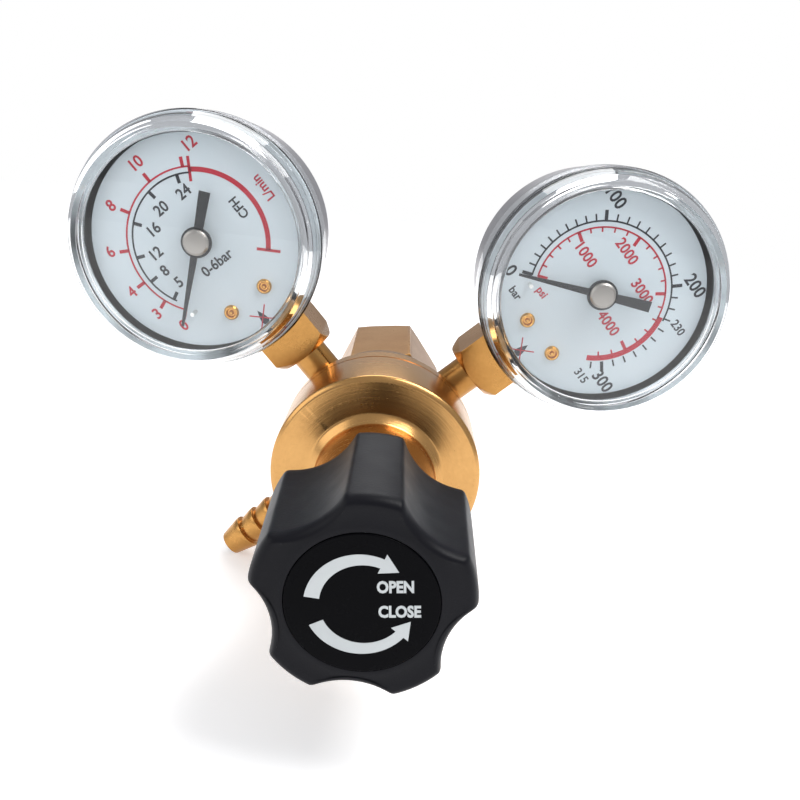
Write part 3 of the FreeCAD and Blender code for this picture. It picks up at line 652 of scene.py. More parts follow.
@dataclass
class Finishes:
    """Every finish of the regulator, each made once."""

    gauge_centres: dict[Side, tuple[float, float]]
    made: dict[str, bpy.types.Material] = field(default_factory=dict)

    def get(self, recipe: Metal | Moulded | Clear) -> bpy.types.Material:
        """The material of a recipe, made the first time that it is asked for."""
        if recipe.name not in self.made:
            self.made[recipe.name] = recipe.material()
        return self.made[recipe.name]

    def satin_brass(self) -> bpy.types.Material:
        """Forged and machined brass with a satin surface."""
        return self.get(Metal("satin brass", (0.55, 0.285, 0.085, 1), (0.31, 0.14, 0.036, 1), 0.30, 0.014,
                              0.95))

    def turned_brass(self) -> bpy.types.Material:
        """Brass as it leaves the lathe, with fine lines about the main axis."""
        return self.get(Metal("turned brass", (0.63, 0.355, 0.13, 1), (0.43, 0.21, 0.065, 1), 0.21, 0.002,
                              0.35, 0.35, 0.012))

    def movement_brass(self) -> bpy.types.Material:
        """Stamped brass sheet inside the gauges."""
        return self.get(Metal("movement brass", (0.78, 0.57, 0.26, 1), (0.6, 0.42, 0.17, 1), 0.35, 0.008))

    def rivet_brass(self) -> bpy.types.Material:
        """Bright orange brass of the dial's screws."""
        return self.get(Metal("rivet brass", (0.80, 0.42, 0.10, 1), (0.55, 0.25, 0.05, 1), 0.22, 0.004))

    def bronze(self) -> bpy.types.Material:
        """Sintered bronze of the inlet filter."""
        return self.get(Metal("sintered bronze", (0.5, 0.34, 0.18, 1), (0.33, 0.2, 0.1, 1), 0.6, 0.12))

    def steel(self) -> bpy.types.Material:
        """Bright zinc plate."""
        return self.get(Metal("bright steel", (0.72, 0.7, 0.67, 1), (0.55, 0.53, 0.51, 1), 0.2, 0.004, 0.5))

    def cap_steel(self, side: Side) -> bpy.types.Material:
        """Turned steel of one pointer's cap, with rings about its own axis. Its colour is darkened as painted
        shade for the dark surroundings that it reflects.
        """
        # the darker colour is a painted dark reflection, not the steel's own colour
        return self.get(Metal(f"cap steel {side.value}", (0.50, 0.46, 0.42, 1), (0.36, 0.32, 0.29, 1), 0.33,
                              0.002, 0.6, 0.25, 0.006, self.gauge_centres[side]))

    def spring(self) -> bpy.types.Material:
        """Drawn spring wire."""
        return self.get(Metal("spring steel", (0.42, 0.42, 0.43, 1), (0.25, 0.25, 0.26, 1), 0.35, 0.006))

    def plated(self, side: Side) -> bpy.types.Material:
        """Grey plated sheet of one gauge's case, with drawing marks about that gauge's axis."""
        return self.get(Metal(f"plated steel {side.value}", (0.42, 0.41, 0.42, 1), (0.25, 0.24, 0.26, 1),
                              0.3, 0.003, 0.7, 0.3, 0.008, self.gauge_centres[side]))

    def rubber(self) -> bpy.types.Material:
        """Black rubber."""
        return self.get(Moulded("black rubber", (0.012, 0.012, 0.012, 1), (0.03, 0.03, 0.03, 1), 0.55, 0.5,
                                0.02))

    def gasket(self) -> bpy.types.Material:
        """Gasket rubber painted pale grey with dark patches between: painted light and shade that stand in
        for what the lens's rim shows by refraction.
        """
        # pale grey and dark patches: painted refraction light and shade of the lens's rim, not the rubber's
        # own colour
        return self.get(Moulded("gasket painted refraction", (0.70, 0.75, 0.78, 1), (0.012, 0.012, 0.014, 1), 0.5, 0.5,
                                0.01, drift=34.0, contrast=6.0))

    def nylon(self) -> bpy.types.Material:
        """White nylon."""
        return self.get(Moulded("white nylon", (0.86, 0.85, 0.8, 1), (0.78, 0.76, 0.7, 1), 0.35, 0.6, 0.01))

    def knob(self) -> bpy.types.Material:
        """Black moulded plastic of the knob."""
        return self.get(Moulded("knob plastic", (0.004, 0.004, 0.006, 1), (0.007, 0.007, 0.010, 1), 0.40,
                                0.35, 0.022, gloss=0.14))

    def label(self) -> bpy.types.Material:
        """Glossy black foil of the knob's label."""
        return self.get(Moulded("label foil", (0.0015, 0.0015, 0.002, 1), (0.003, 0.003, 0.004, 1), 0.25,
                                1.2, 0.006, gloss=0.04))

    def white_ink(self) -> bpy.types.Material:
        """White print on the knob's label."""
        return self.get(Moulded("white ink", (0.66, 0.69, 0.69, 1), (0.50, 0.53, 0.54, 1), 0.4, 0.4, 0.004))

    def black_ink(self) -> bpy.types.Material:
        """Black print on the dials."""
        return self.get(Moulded("black ink", (0.012, 0.013, 0.018, 1), (0.03, 0.03, 0.04, 1), 0.5, 0.4,
                                0.003))

    def red_ink(self) -> bpy.types.Material:
        """Red print on the dials."""
        return self.get(Moulded("red ink", (0.62, 0.012, 0.035, 1), (0.5, 0.015, 0.035, 1), 0.5, 0.4, 0.003))

    def dial(self) -> bpy.types.Material:
        """White enamel of the dials."""
        return self.get(Moulded("dial enamel", (0.78, 0.83, 0.86, 1), (0.70, 0.77, 0.81, 1), 0.38, 0.8,
                                0.004, 0.1))

    def pointer(self) -> bpy.types.Material:
        """Black paint of the pointers."""
        return self.get(Moulded("pointer paint", (0.010, 0.010, 0.012, 1), (0.02, 0.02, 0.022, 1), 0.42,
                                0.3, 0.006))

    def lens(self) -> bpy.types.Material:
        """Clear plastic of the lenses."""
        return self.get(Clear("clear lens", (0.985, 0.995, 1.0, 1)))


# ---- the valve body's sub-assemblies ----

@dataclass
class InletNut:
    """The hexagonal swivel nut, with its internal thread, and the nipple that it turns on."""

    length: float = 34.0
    flats: float = 27.0
    turn: float = 9.0
    chamfer: float = 1.6
    chamfer_slope: float = 0.6
    bore: float = 9.74
    thread_length: float = 10.0
    pitch: float = 1.814
    thread_depth: float = 1.0
    relief: float = 10.6
    shoulder: float = 17.0
    swivel: float = 7.2

    def surface(self) -> Surface:
        """The nut on one grid of angles and steps along its section. Outside, the radius is the smaller of
        the hexagon's, half the flats over cos of the angle from a flat's middle, and the chamfer's cone. In
        the thread it is the bore's plus a groove that moves along by one pitch in each turn."""
        steps = 360
        turn = np.linspace(0, 2 * math.pi, steps, endpoint=False)[None, :]
        sixth = math.pi / 3
        hexagon = self.flats / 2 / np.cos((turn + sixth / 2) % sixth - sixth / 2)
        corner = self.flats / math.sqrt(3)
        ends = np.linspace(0, 1, 9)[:, None]
        face = self.chamfer * self.chamfer_slope * ends
        cone = corner - self.chamfer * (1 - ends)
        front_rows = np.minimum(hexagon, cone)
        rows = [(front_rows, np.broadcast_to(face, front_rows.shape)),
                (front_rows[::-1], np.broadcast_to(self.length - face[::-1], front_rows.shape))]
        h = np.linspace(self.thread_length, 0, 111)[:, None]
        phase = (h / self.pitch - turn / (2 * math.pi)) % 1
        groove = np.clip(1.25 - np.abs(phase - 0.5) * 3.2, 0, 1)
        fade = np.clip(h / self.pitch, 0, 1) * np.clip((self.thread_length - h) / self.pitch + 0.35, 0, 1)
        thread = self.bore + self.thread_depth * groove * fade + 0.6 * np.clip(1 - h / 0.6, 0, 1)
        flat = np.ones((1, steps))
        inner = [(self.swivel + 0.3, self.length)] + [
            (self.swivel, self.length - 0.3), (self.swivel, self.shoulder + 0.2),
            (self.swivel + 0.2, self.shoulder), (self.relief, self.shoulder),
            (self.relief, self.thread_length + 0.05)]
        rows += [(radius * flat, height * flat) for radius, height in inner]
        rows.append((thread, h + 0 * turn))
        radius, height = (np.concatenate([row[k] for row in rows]) for k in (0, 1))
        angle = turn + math.radians(self.turn + 30)
        return grid(np.stack([radius * np.cos(angle), radius * np.sin(angle), height], -1))

    def build(self, finishes: Finishes) -> None:
        """Make the nut, and ease the nipple's edges."""
        make("inlet_nut_threaded", self.surface(), MAIN, "inlet_nut",
             finishes.satin_brass(), ["inlet_nut"], angle=24)
        eased("inlet_nipple", "housing", finishes.satin_brass())


@dataclass
class Bonnet:
    """The brass bonnet: a wide turned disc with a neck that carries the knob."""

    radius: float = 22.1
    back: float = 66.1
    edge: float = 81.2
    face: float = 82.1
    crown: float = 14.2
    neck: float = 12.5
    front: float = 106.0
    thread: float = 4.98
    boss: float = 19.5
    shoulder: float = 75.4
    mouth: float = 15.0
    mouth_end: float = 78.4
    cavity: float = 10.4
    cavity_front: float = 99.5

    def build(self, finishes: Finishes) -> None:
        """Make the bonnet with its edges rounded and a groove where it meets the body's flange."""
        profile = rounded([
            (self.boss, self.back + 0.05, 0), (self.radius - 0.35, self.back + 0.05, 0),
            (self.radius, self.back + 0.5, 0.3), (self.radius, self.edge, 0.9),
            (self.radius - 0.9, self.edge + 0.62, 0.9), (self.crown, self.face, 1.2),
            (self.neck, self.face + 1.5, 1.2), (self.neck, self.front - 0.7, 0.5),
            (self.neck - 0.8, self.front, 0.4), (self.thread + 0.5, self.front, 0.2),
            (self.thread, self.front - 0.5, 0), (self.thread, self.cavity_front, 0),
            (self.cavity, self.cavity_front, 0), (self.cavity, self.mouth_end, 0),
            (self.mouth, self.mouth_end, 0), (self.mouth, self.shoulder, 0), (self.boss, self.shoulder, 0)])
        make("bonnet_turned", turned(profile, 256), MAIN, "housing",
             finishes.turned_brass(), ["bonnet"], angle=28)


@dataclass
class ValveBody:
    """The forged body, and the outlet barb and relief valve screwed into it."""

    node_ease: dict[str, float] = field(default_factory=lambda: {
        "outlet_barb": 0.12, "relief_body": 0.2, "relief_cap": 0.15})

    def build(self, finishes: Finishes) -> None:
        """Ease the edges of the body and its fittings."""
        eased("body", "housing", finishes.turned_brass(), 0.3)
        for node, ease in self.node_ease.items():
            eased(node, "housing", finishes.satin_brass(), ease)


@dataclass
class Knob:
    """The fluted knob, its label with two arrows, and what fixes it to the adjusting screw."""

    back: float = 103.8
    front: float = 129.6
    back_radius: float = 18.7
    front_radius: float = 18.1
    flutes: int = 5
    flute_radius: float = 13.4
    flute_centre: float = 28.4
    flute_turn: float = 54.5
    softness: float = 4.5
    edge_height: float = 2.2
    edge_inset: float = 1.5
    screw_radius: float = 4.9
    screw_end: float = 124.0
    fixing_radius: float = 2.0
    label_radius: float = 12.2
    recess: float = 129.1
    cavity: float = 13.0
    cavity_floor: float = 114.0
    label_face: float = 129.74
    print_top: float = 129.8
    print_sink: float = 0.02
    arrow_radius: float = 9.0
    arrow_width: float = 2.4

    def flute_reach(self, turn: np.ndarray) -> np.ndarray:
        """How far out the flutes let the skin go at each angle: the near side of the nearest flute's circle,
        at c cos a - sqrt(r^2 - (c sin a)^2) for its centre at c, its radius r and the angle a from its
        middle."""
        period = 2 * math.pi / self.flutes
        off = (turn - math.radians(self.flute_turn) + period / 2) % period - period / 2
        inside = self.flute_radius ** 2 - (self.flute_centre * np.sin(off)) ** 2
        near = self.flute_centre * np.cos(off) - np.sqrt(np.maximum(inside, 0))
        return np.where(inside > 0, near, near + 40 * np.sqrt(np.maximum(-inside, 0)) / self.flute_radius)

    def skin(self, turn: np.ndarray, radius: np.ndarray, inset: np.ndarray) -> np.ndarray:
        """The lobed radius: a soft minimum, -log(exp(-k a) + exp(-k b)) / k, of the round radius a and the
        flutes' reach b less the inset."""
        k = self.softness
        flute = self.flute_reach(turn) - inset
        return -np.logaddexp(-k * radius, -k * flute) / k

    def surface(self) -> Surface:
        """The knob on one grid of angles and steps along its section. Each step has a radius, a height, an
        inset of the flutes and a weight between round, 0, and lobed, 1."""
        turn = np.linspace(0, 2 * math.pi, 400, endpoint=False)[None, :]
        rows = [(self.cavity, self.back + 0.3, 0.0, 0.0), (self.cavity + 0.3, self.back, 0.0, 0.0),
                (self.back_radius - 0.8, self.back, 0.8, 1.0),
                (self.back_radius - 0.2, self.back + 0.25, 0.2, 1.0),
                (self.back_radius, self.back + 0.9, 0.0, 1.0)]
        edge_start = self.front - self.edge_height
        rows += [(self.back_radius + (self.front_radius - self.back_radius) * share,
                  self.back + 0.9 + (edge_start - self.back - 0.9) * share, 0.0, 1.0)
                 for share in np.linspace(0.05, 1, 24)]
        for share in np.linspace(0, 1, 13)[1:]:
            bow = share * math.pi / 2
            inset = self.edge_inset * (1 - math.cos(bow))
            rows.append((self.front_radius - inset, edge_start + self.edge_height * math.sin(bow),
                         inset, 1.0))
        lip = self.front_radius - self.edge_inset
        rows += [(lip - (lip - self.label_radius - 0.35) * share,
                  self.front - 0.18 * math.sin(math.pi * share), self.edge_inset, 1.0 - share)
                 for share in np.linspace(0, 1, 7)[1:]]
        rows += [(self.label_radius + 0.1, self.front - 0.06, 0, 0),
                 (self.label_radius, self.front - 0.2, 0, 0),
                 (self.label_radius, self.recess, 0, 0), (3.8, self.recess, 0, 0),
                 (self.fixing_radius, self.recess - 2.4, 0, 0), (self.fixing_radius, self.screw_end, 0, 0),
                 (self.screw_radius, self.screw_end, 0, 0), (self.screw_radius, self.cavity_floor, 0, 0),
                 (self.cavity - 0.5, self.cavity_floor, 0, 0), (self.cavity, self.cavity_floor - 0.5, 0, 0)]
        table = np.array(rows)
        radius, height, inset, weight = (table[:, k][:, None] for k in range(4))
        lobed = self.skin(turn, radius, inset)
        out = radius * (1 - weight) + lobed * weight
        out = np.where(weight > 0, np.maximum(out, self.label_radius + 0.35), out)
        return grid(np.stack([out * np.cos(turn), out * np.sin(turn), height + 0 * turn], -1))

    def arrow(self, tail: float, neck: float, tip: float) -> Surface:
        """A curved arrow of print: a band along an arc that narrows from its tail, and a pointed head.

        Args:
            tail: angle of its blunt end, in degrees.
            neck: angle where the head starts.
            tip: angle of the head's point.

        Returns:
            The arrow's surface.
        """
        share = np.linspace(0, 1, 40)
        angle = np.radians(tail + (neck - tail) * share)
        width = self.arrow_width * (1 - 0.32 * share)
        middle = self.arrow_radius - self.arrow_width / 2
        outer = np.stack([(middle + width / 2) * np.cos(angle), (middle + width / 2) * np.sin(angle)], -1)
        inner = np.stack([(middle - width / 2) * np.cos(angle), (middle - width / 2) * np.sin(angle)], -1)
        barb = self.arrow_width * 0.74
        head = np.array([polar(middle + barb, neck), polar(middle + 0.25, tip), polar(middle - barb, neck)])
        low = self.label_face - self.print_sink
        body = outline_plate(np.concatenate([outer, inner[::-1]]), low, self.print_top)
        return merged([body, outline_plate(head, low, self.print_top)])

    def build(self, finishes: Finishes) -> None:
        """Make the knob, the label and its print."""
        make("knob_moulded", self.surface(), MAIN, "knob", finishes.knob(), ["knob"], angle=40)
        disc = rounded([(0, self.recess, 0), (self.label_radius - 0.05, self.recess, 0),
                        (self.label_radius - 0.05, self.label_face, 0.25), (0, self.label_face, 0)],
                       closed=False)
        make("knob_label_foil", turned(disc, 128, closed=False), MAIN, "knob", finishes.label(),
             ["knob_label"])
        arrows = merged([self.arrow(178, 73, 52), self.arrow(211, 325, 346)])
        make("knob_arrows", arrows, MAIN, "knob", finishes.white_ink())
        words = []
        for text, x, y in (("OPEN", 4.7, 3.8), ("CLOSE", 5.9, -0.4)):
            word = lettering(text, 2.15, self.label_face - self.print_sink, self.print_top, 0.04, 0.8)
            words.append(shifted(word, x, y, 8))
        make("knob_words", merged(words), MAIN, "knob", finishes.white_ink())
        for node in ("adjusting_screw", "knob_screw"):
            dress(node, finishes.steel())


# ---- gauges ----

@dataclass(frozen=True)
class Word:
    """Print on a dial: text at a radius and an angle clockwise from zero, and how far it is turned."""

    text: str
    radius: float
    degrees: float
    height: float
    red: bool
    turn: float = 0.0


@dataclass(frozen=True)
class Ring:
    """A thin printed ring between two angles, with ticks of given reach on one side of it. Long ticks are
    bolder."""

    radius: float
    first: float
    last: float
    ticks: tuple[tuple[float, float], ...]
    red: bool
    width: float = 0.3
    tick_width: float = 0.34


@dataclass(frozen=True)
class DialPrint:
    """Everything printed on one dial."""

    rings: tuple[Ring, ...]
    words: tuple[Word, ...]
    danger: tuple[float, float]
    band: tuple[float, float]
    crossed: bool


PRINT_RADIUS = 15.2

LOW_PRINT = DialPrint(
    rings=(Ring(PRINT_RADIUS, 7, 169, tuple((at, 2.0) for at in (8, 26, 47.5, 75, 105, 135.5, 164.5)), True,
                0.35, 0.7),
           Ring(0.92 * PRINT_RADIUS, 17, 169, tuple((at, -1.8) for at in (20, 44.5, 68, 98, 129, 158)),
                False, 0.35, 0.7)),
    words=(Word("0", 18.7, 7.5, 2.5, True), Word("3", 18.7, 26.5, 2.5, True),
           Word("4", 18.8, 47.5, 2.5, True), Word("6", 19.2, 76, 2.5, True),
           Word("8", 19.3, 105, 2.5, True), Word("10", 19.7, 136.5, 2.5, True),
           Word("12", 19.8, 171.5, 2.5, True),
           Word("5", 10.0, 23, 2.4, False), Word("8", 10.0, 44.5, 2.4, False),
           Word("12", 9.6, 68, 2.4, False), Word("16", 9.6, 98, 2.4, False),
           Word("20", 10.0, 125, 2.4, False), Word("24", 10.4, 159, 2.4, False),
           Word("0-6bar", 5.6, -45, 2.3, False), Word("CFH", 11.2, 225, 2.0, False, 90),
           Word("L/min", 17.8, 225, 2.0, True, 90)),
    danger=(169.4, 270), band=(0.92 * PRINT_RADIUS, PRINT_RADIUS), crossed=True)


def bar_angle(pressure: float) -> float:
    """Degrees clockwise of a pressure in bar on the high pressure dial, between its numbered marks."""
    return float(np.interp(pressure, (0, 100, 200, 300, 315), (8, 83, 167, 257, 270)))


def psi_angle(pressure: float) -> float:
    """Degrees clockwise of a pressure in pounds to the square inch on the same dial."""
    return bar_angle(pressure / 14.504)


HIGH_PRINT = DialPrint(
    rings=(Ring(PRINT_RADIUS, 7.5, 196, tuple((bar_angle(at), 2.2 if at % 100 == 0 else 1.5)
                                              for at in range(0, 311, 10)), False, 0.35),
           Ring(0.915 * PRINT_RADIUS, 7.5, 196, tuple((psi_angle(at), -2.1 if at % 1000 == 0 else -1.0)
                                                      for at in range(0, 4500, 200)), True, 0.35)),
    words=(Word("0", 19.8, 7, 2.8, False), Word("100", 20.0, 88, 2.8, False),
           Word("200", 20.2, 168, 2.8, False), Word("300", 19.8, 256.5, 2.8, False),
           Word("230", 19.0, 196, 1.9, False), Word("315", 18.6, 271, 1.9, False),
           Word("1000", 8.8, 59.6, 2.4, True), Word("2000", 10.2, 112, 2.4, True),
           Word("3000", 9.0, 170.5, 2.4, True), Word("4000", 6.9, 243, 2.4, True),
           Word("bar", 18.0, -7.4, 1.8, False), Word("psi", 12.6, -7.3, 1.8, True)),
    danger=(bar_angle(230), 270), band=(0.90 * PRINT_RADIUS, 0.99 * PRINT_RADIUS), crossed=False)


@dataclass
class Gauge:
    """One pressure gauge. Its own z points at the user and its own y away from its stem."""

    side: Side
    centre: tuple[float, float]
    dial_plane: float = 68.0
    case_radius: float = 25.0
    rim: float = 1.5
    lens_radius: float = 25.97
    skirt: float = 3.5
    face: float = 8.6
    zero: float = 225.0
    pointer_angle: float = 218.5
    print_height: float = 0.04
    print_sink: float = 0.01
    gasket_width: float = 1.6
    gasket_thick: float = 0.8
    blade_tip: float = 18.2
    blade_tail: float = 10.5
    disc_radius: float = 3.2
    cap_radius: float = 2.7
    screw_ring: float = 16.3
    screw_spread: float = 16.6
    pointer_height: float = 2.0

    def place(self) -> Place:
        """The gauge's own axes: its up leads from the main axis out through the dial's centre."""
        x, z = self.centre
        size = math.hypot(x, z)
        up = (x / size, 0.0, z / size)
        return Place((x, -self.dial_plane, z), (up[2], 0.0, -up[0]), up, (0.0, -1.0, 0.0))

    def name(self, piece: str) -> str:
        """A piece's or node's name with this gauge's prefix."""
        return f"{self.side.value}_gauge_{piece}"

    def add(self, piece: str, surface: Surface, slot: Slot, material: bpy.types.Material,
            nodes: Sequence[str] = (), body: str = "housing", angle: float = 32.0) -> bpy.types.Object:
        """Make one of the gauge's pieces, given by the last part of its name."""
        return make(self.name(piece), surface, self.place(), body, material,
                    [self.name(n) for n in nodes], angle)

    def build(self, finishes: Finishes, printed: DialPrint) -> None:
        """Make every shown piece of the gauge."""
        self.housing(finishes)
        self.lens(finishes)
        self.print_dial(finishes, printed)
        self.pointer(finishes)
        eased(self.name("socket"), "housing", finishes.satin_brass(), 0.25)
        for node in ("bourdon_tube", "movement_frame", "pinion", "sector", "link"):
            dress(self.name(node), finishes.movement_brass())
        dress(self.name("stop_pin"), finishes.steel())
        dress(self.name("hairspring"), finishes.bronze())
        dress(self.name("dial"), finishes.dial())

    def housing(self, finishes: Finishes) -> None:
        """The pressed case with its rolled back edge, and the gasket at its mouth."""
        eased(self.name("case"), "housing", finishes.plated(self.side), 0.9, 25)
        inner, outer = self.case_radius - self.gasket_width, self.case_radius
        low, high = self.rim, self.rim + self.gasket_thick
        ring = rounded([(inner, low, 0.2), (outer, low, 0.2), (outer, high, 0.2), (inner, high, 0.2)], 3)
        self.add("gasket_ring", turned(ring), Slot.RUBBER, finishes.gasket(), ["gasket"])

    def lens(self, finishes: Finishes) -> None:
        """The clear lens: a skirt over the case, a rounded shoulder and a flat window with a raised ring."""
        r, inner = self.lens_radius, self.case_radius
        section = rounded([
            (inner + 0.05, -self.skirt, 0.15), (r, -self.skirt, 0.3), (r, 3.2, 0.6), (r - 0.55, 4.0, 0.5),
            (r - 1.5, 7.3, 1.2), (r - 2.6, self.face, 0.7), (r - 3.6, self.face, 0.4),
            (r - 4.2, self.face - 0.5, 0.4), (0, self.face - 0.5, 0), (0, self.face - 1.7, 0),
            (r - 4.2, self.face - 1.7, 0.5),
            (inner - 1.7, 2.35, 0.2), (inner + 0.05, 2.35, 0.1)], 5)
        loop = np.concatenate([section, section[:1]])
        split = int(np.argmin(np.where(loop[:, 0] < 1e-9, np.arange(len(loop)), 10 ** 6)))
        ordered = np.concatenate([section[split + 1:], section[:split + 1]])
        self.add("lens_moulded", turned(ordered, 224, closed=False), Slot.LENS, finishes.lens(), ["lens"],
                 angle=40)

    def ink(self, printed: DialPrint, red: bool) -> Surface:
        """Everything on the dial in one colour of ink.

        Args:
            printed: what the dial carries.
            red: whether to give the red print, rather than the black.

        Returns:
            The print as thin raised shapes.
        """
        top = self.print_height
        shapes: list[Surface] = []
        for ring in printed.rings:
            if ring.red is red:
                shapes.append(arc_band(ring.radius - ring.width / 2, ring.radius + ring.width / 2,
                                       self.zero - ring.first, self.zero - ring.last, -self.print_sink, top))
                shapes += [bar(polar(ring.radius, self.zero - at), polar(ring.radius + reach, self.zero - at),
                               0.7 if abs(reach) > 2 else ring.tick_width, -self.print_sink, top)
                           for at, reach in ring.ticks]
        for word in printed.words:
            if word.red is red:
                type_face = lettering(word.text, word.height, -self.print_sink, top, 0.02, 0.94)
                shapes.append(shifted(type_face, *polar(word.radius, self.zero - word.degrees), word.turn))
        if red:
            first, last = printed.danger
            inner, outer = printed.band
            shapes.append(arc_band(inner + 0.1, outer - 0.1, self.zero - first, self.zero - last,
                                   -self.print_sink, top))
            if printed.crossed:
                shapes += [bar(polar(inner - 1.8, self.zero - at), polar(outer + 2.0, self.zero - at),
                               0.6, -self.print_sink, top) for at in (first, last)]
            shapes += [bar((-2.1, -20.6 - lean), (2.1, -20.6 + lean), 0.26, -self.print_sink, top)
                       for lean in (-2.0, 2.0)]
        else:
            turn = np.linspace(0, 2 * math.pi, 36, endpoint=False)
            drop = (np.stack([1.2 * np.sin(turn) * np.sin(turn / 2) ** 1.5, 1.8 * np.cos(turn)], -1)
                    + (0.0, -20.5))
            shapes.append(outline_plate(drop, -self.print_sink, top * 0.8))
        return merged(shapes)

    def print_dial(self, finishes: Finishes, printed: DialPrint) -> None:
        """Print the dial and set its two screws, each a raised ring about a small point."""
        self.add("print_black", self.ink(printed, False), Slot.DIAL, finishes.black_ink())
        self.add("print_red", self.ink(printed, True), Slot.DIAL, finishes.red_ink())
        screw = rounded([(0, -2.5, 0), (0.8, -2.5, 0), (0.8, 0.01, 0), (1.6, 0.01, 0), (1.6, 0.3, 0.1),
                         (1.3, 0.7, 0.2), (1.0, 0.7, 0.1), (0.85, 0.06, 0.1), (0.5, 0.06, 0.08),
                         (0.3, 0.6, 0.08), (0, 0.62, 0)], 4, closed=False)
        heads = [shifted(turned(screw, 40, closed=False),
                         *polar(self.screw_ring, 270 + side * self.screw_spread)) for side in (-1, 1)]
        self.add("dial_rivets", merged(heads), Slot.MOVEMENT_BRASS, finishes.rivet_brass(), ["dial_screws"])

    def pointer(self, finishes: Finishes) -> None:
        """The tapered pointer, its disc and the bright cap on its arbor."""
        low, high = self.pointer_height, self.pointer_height + 0.5
        disc = rounded([(0, low, 0), (self.disc_radius, low, 0), (self.disc_radius, high, 0.12),
                        (0, high, 0)], 3, closed=False)
        blade = bar(polar(self.blade_tail, self.pointer_angle + 180),
                    polar(self.blade_tip, self.pointer_angle), 2.3, low, high, 0.5)
        body = f"{self.side.value}_pointer"
        self.add("pointer_blade", merged([blade, turned(disc, 72, closed=False)]), Slot.POINTER,
                 finishes.pointer(), ["pointer"], body)
        cap = rounded([(0, high, 0), (self.cap_radius, high, 0), (self.cap_radius, high + 0.45, 0.2),
                       (self.cap_radius - 0.5, high + 0.8, 0.4), (0, high + 0.9, 0)], 5, closed=False)
        self.add("pointer_cap_turned", turned(cap, 72, closed=False), Slot.STEEL,
                 finishes.cap_steel(self.side), ["pointer_cap"], body)


# ---- the rest of the nodes, the studio and the run ----

def dress(node: str, material: bpy.types.Material) -> None:
    """Give a CAD node that keeps its shape its finish."""
    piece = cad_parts[node]
    if not piece.material_slots:
        piece.data.materials.append(material)
    for slot in piece.material_slots:
        slot.material = material
    LOG.info("%s: dressed in %s", node, material.name)


@dataclass
class Inside:
    """The pieces inside the body and bonnet. They keep their CAD shapes, and the springs are replaced by
    copies with their own meshes.
    """

    steel: tuple[str, ...] = ("diaphragm_plate", "spring_button", "thrust_ball")
    springs: tuple[tuple[str, str, tuple[float, float, float], float], ...] = (
        ("range_spring", "screw_advance", (0.0, -1.0, 0.0), 0.0068),
        ("poppet_spring", "poppet_lift", (0.0, -1.0, 0.0), 0.00082),
        ("relief_spring", "relief_lift", (0.0, 0.0, 1.0), 0.001))
    brass: tuple[str, ...] = ("valve_nozzle", "poppet", "relief_poppet")
    rubber: tuple[str, ...] = ("diaphragm", "seat_disc")
    nylon: tuple[str, ...] = ("inlet_washer", "slip_ring")

    def spring(self, node: str, joint: str, axis: tuple[float, float, float], travel: float,
               material: bpy.types.Material) -> None:
        """A copy of a spring, with its own mesh, that replaces the CAD node.

        Args:
            node: the spring's CAD node, which the copy replaces.
            joint: the joint that presses it; not used.
            axis: the spring's axis, away from its fixed end; not used.
            travel: the joint's longest travel in metres; not used.
            material: the spring's finish.
        """
        piece = eased(node, "housing", material, 0.0)
        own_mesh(piece)

    def build(self, finishes: Finishes) -> None:
        """Dress each piece in its own finish, and give the springs copies of their own."""
        for node, joint, axis, travel in self.springs:
            self.spring(node, joint, axis, travel, finishes.spring())
        groups = ((self.steel, finishes.steel()), (self.brass, finishes.satin_brass()),
                  (self.rubber, finishes.rubber()), (self.nylon, finishes.nylon()))
        for names, material in groups:
            for node in names:
                dress(node, material)
        dress("inlet_filter", finishes.bronze())


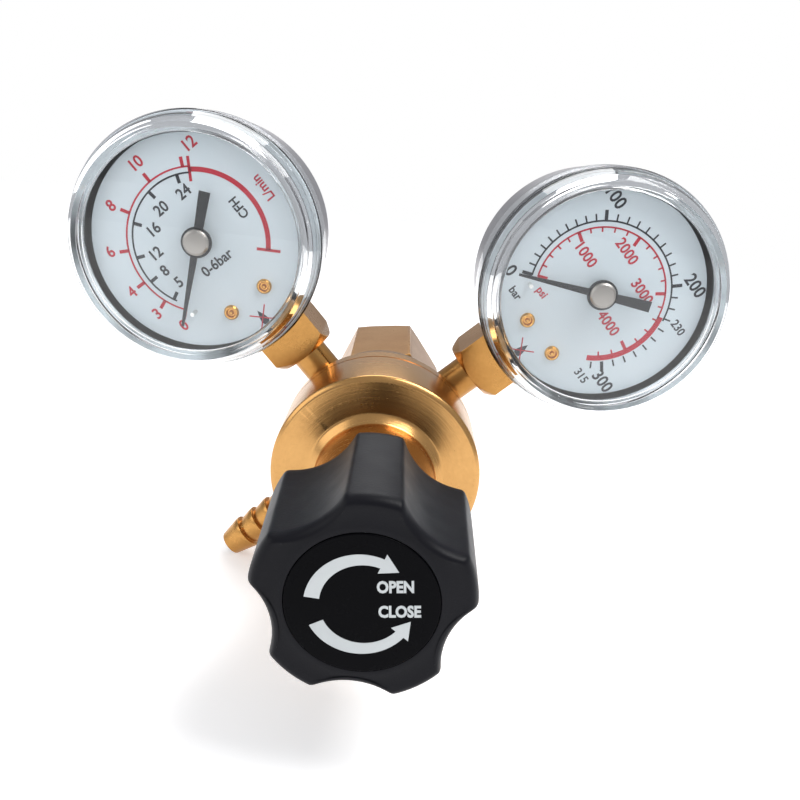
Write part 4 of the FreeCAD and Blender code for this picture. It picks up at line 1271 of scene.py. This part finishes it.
@dataclass
class Studio:
    """Floor, lights and camera."""

    floor_radius: float = 0.8
    floor_glow: float = 0.48
    room_light: float = 0.5
    backdrop: float = 1.0
    camera: tuple[float, float, float] = (-1.70, -236.0, 68.8)
    azimuth: float = -0.031
    elevation: float = 0.320
    roll: float = 0.134
    lens: float = 36.0

    def build(self) -> None:
        """Set up the floor, the lights and the camera."""
        self.floor()
        world = bpy.data.worlds.new("studio")
        world.use_nodes = True
        nodes, links = world.node_tree.nodes, world.node_tree.links
        soft, seen = nodes["Background"], nodes.new("ShaderNodeBackground")
        both = nodes.new("ShaderNodeMixShader")
        for back, colour, strength in ((soft, (0.93, 0.95, 1.0, 1), self.room_light),
                                       (seen, (1.0, 1.0, 1.0, 1), self.backdrop)):
            back.inputs["Color"].default_value = colour
            back.inputs["Strength"].default_value = strength
        links.new(nodes.new("ShaderNodeLightPath").outputs["Is Camera Ray"], both.inputs[0])
        links.new(soft.outputs[0], both.inputs[1])
        links.new(seen.outputs[0], both.inputs[2])
        links.new(both.outputs[0], nodes["World Output"].inputs["Surface"])
        bpy.context.scene.world = world
        self.light("key", (300, -160, 620), (0, -70, 20), 360, 3.6)
        self.light("fill", (-560, -300, 260), (0, -70, 10), 420, 0.8)
        self.light("rim", (-40, 420, 520), (0, -40, 20), 380, 1.6)
        self.view()
        bpy.context.scene.view_settings.view_transform = "Standard"

    def floor(self) -> None:
        """A plain pale floor at the regulator's lowest point: rings of points at r cos t, r sin t."""
        low = CAD_BOX[0].z / MM
        radius = np.linspace(0, 1, 12)[:, None] ** 1.5 * self.floor_radius / MM
        turn = np.linspace(0, 2 * math.pi, 96, endpoint=False)
        points = np.stack([radius * np.cos(turn), radius * np.sin(turn), low + 0 * radius * turn], -1)
        surface = grid(points, close_rows=False)
        mesh = bpy.data.meshes.new("floor")
        mesh.from_pydata((surface.points * MM).tolist(), [], surface.faces)
        tidy_mesh(mesh, 1e-6, 30)
        floor = bpy.data.objects.new("floor", mesh)
        bpy.context.scene.collection.objects.link(floor)
        paint = Moulded("floor paint", (0.9, 0.9, 0.9, 1), (0.87, 0.87, 0.87, 1), 0.8, 2.0, 0.02, 0, 3,
                        glow=self.floor_glow)
        mesh.materials.append(paint.material())

    def light(self, name: str, spot: tuple[float, float, float], aim: tuple[float, float, float], size: float,
              power: float) -> None:
        """A soft square light, in millimetres and watts, aimed at a point."""
        lamp = bpy.data.lights.new(name, "AREA")
        lamp.size, lamp.energy = size * MM, power
        holder = bpy.data.objects.new(name, lamp)
        holder.location = Vector(spot) * MM
        holder.rotation_mode = "QUATERNION"
        holder.rotation_quaternion = ((Vector(aim) - Vector(spot)) * MM).to_track_quat("-Z", "Y")
        bpy.context.scene.collection.objects.link(holder)

    def view(self) -> None:
        """The camera: it looks down a little and is rolled, as it was held by hand."""
        a, e = self.azimuth, self.elevation
        back = Vector((math.sin(a) * math.cos(e), -math.cos(a) * math.cos(e), math.sin(e)))
        right = (-back).cross(Vector((0, 0, 1))).normalized()
        up = right.cross(-back)
        c, s = math.cos(self.roll), math.sin(self.roll)
        lean = Matrix((right * c + up * s, up * c - right * s, back)).transposed()
        lens = bpy.data.cameras.new("camera")
        lens.lens, lens.sensor_width, lens.clip_start, lens.clip_end = self.lens, 36.0, 0.01, 30.0
        camera = bpy.data.objects.new("camera", lens)
        camera.matrix_world = Matrix.Translation(Vector(self.camera) * MM) @ lean.to_4x4()
        bpy.context.scene.collection.objects.link(camera)
        bpy.context.scene.camera = camera


def main() -> None:
    """Build the regulator's looks, sub-assembly by sub-assembly, and the studio around it."""
    logging.basicConfig(level=logging.INFO, format="%(name)s: %(message)s")
    low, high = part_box("low_gauge_dial"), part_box("high_gauge_dial")
    centres = {Side.LOW: tuple((low[0] + low[1])[k] / 2 / MM for k in (0, 2)),
               Side.HIGH: tuple((high[0] + high[1])[k] / 2 / MM for k in (0, 2))}
    finishes = Finishes(centres)
    InletNut().build(finishes)
    ValveBody().build(finishes)
    Bonnet().build(finishes)
    Knob().build(finishes)
    Inside().build(finishes)
    for side, printed in ((Side.LOW, LOW_PRINT), (Side.HIGH, HIGH_PRINT)):
        Gauge(side, centres[side]).build(finishes, printed)
    Studio().build()


if __name__ == "__main__":
    main()
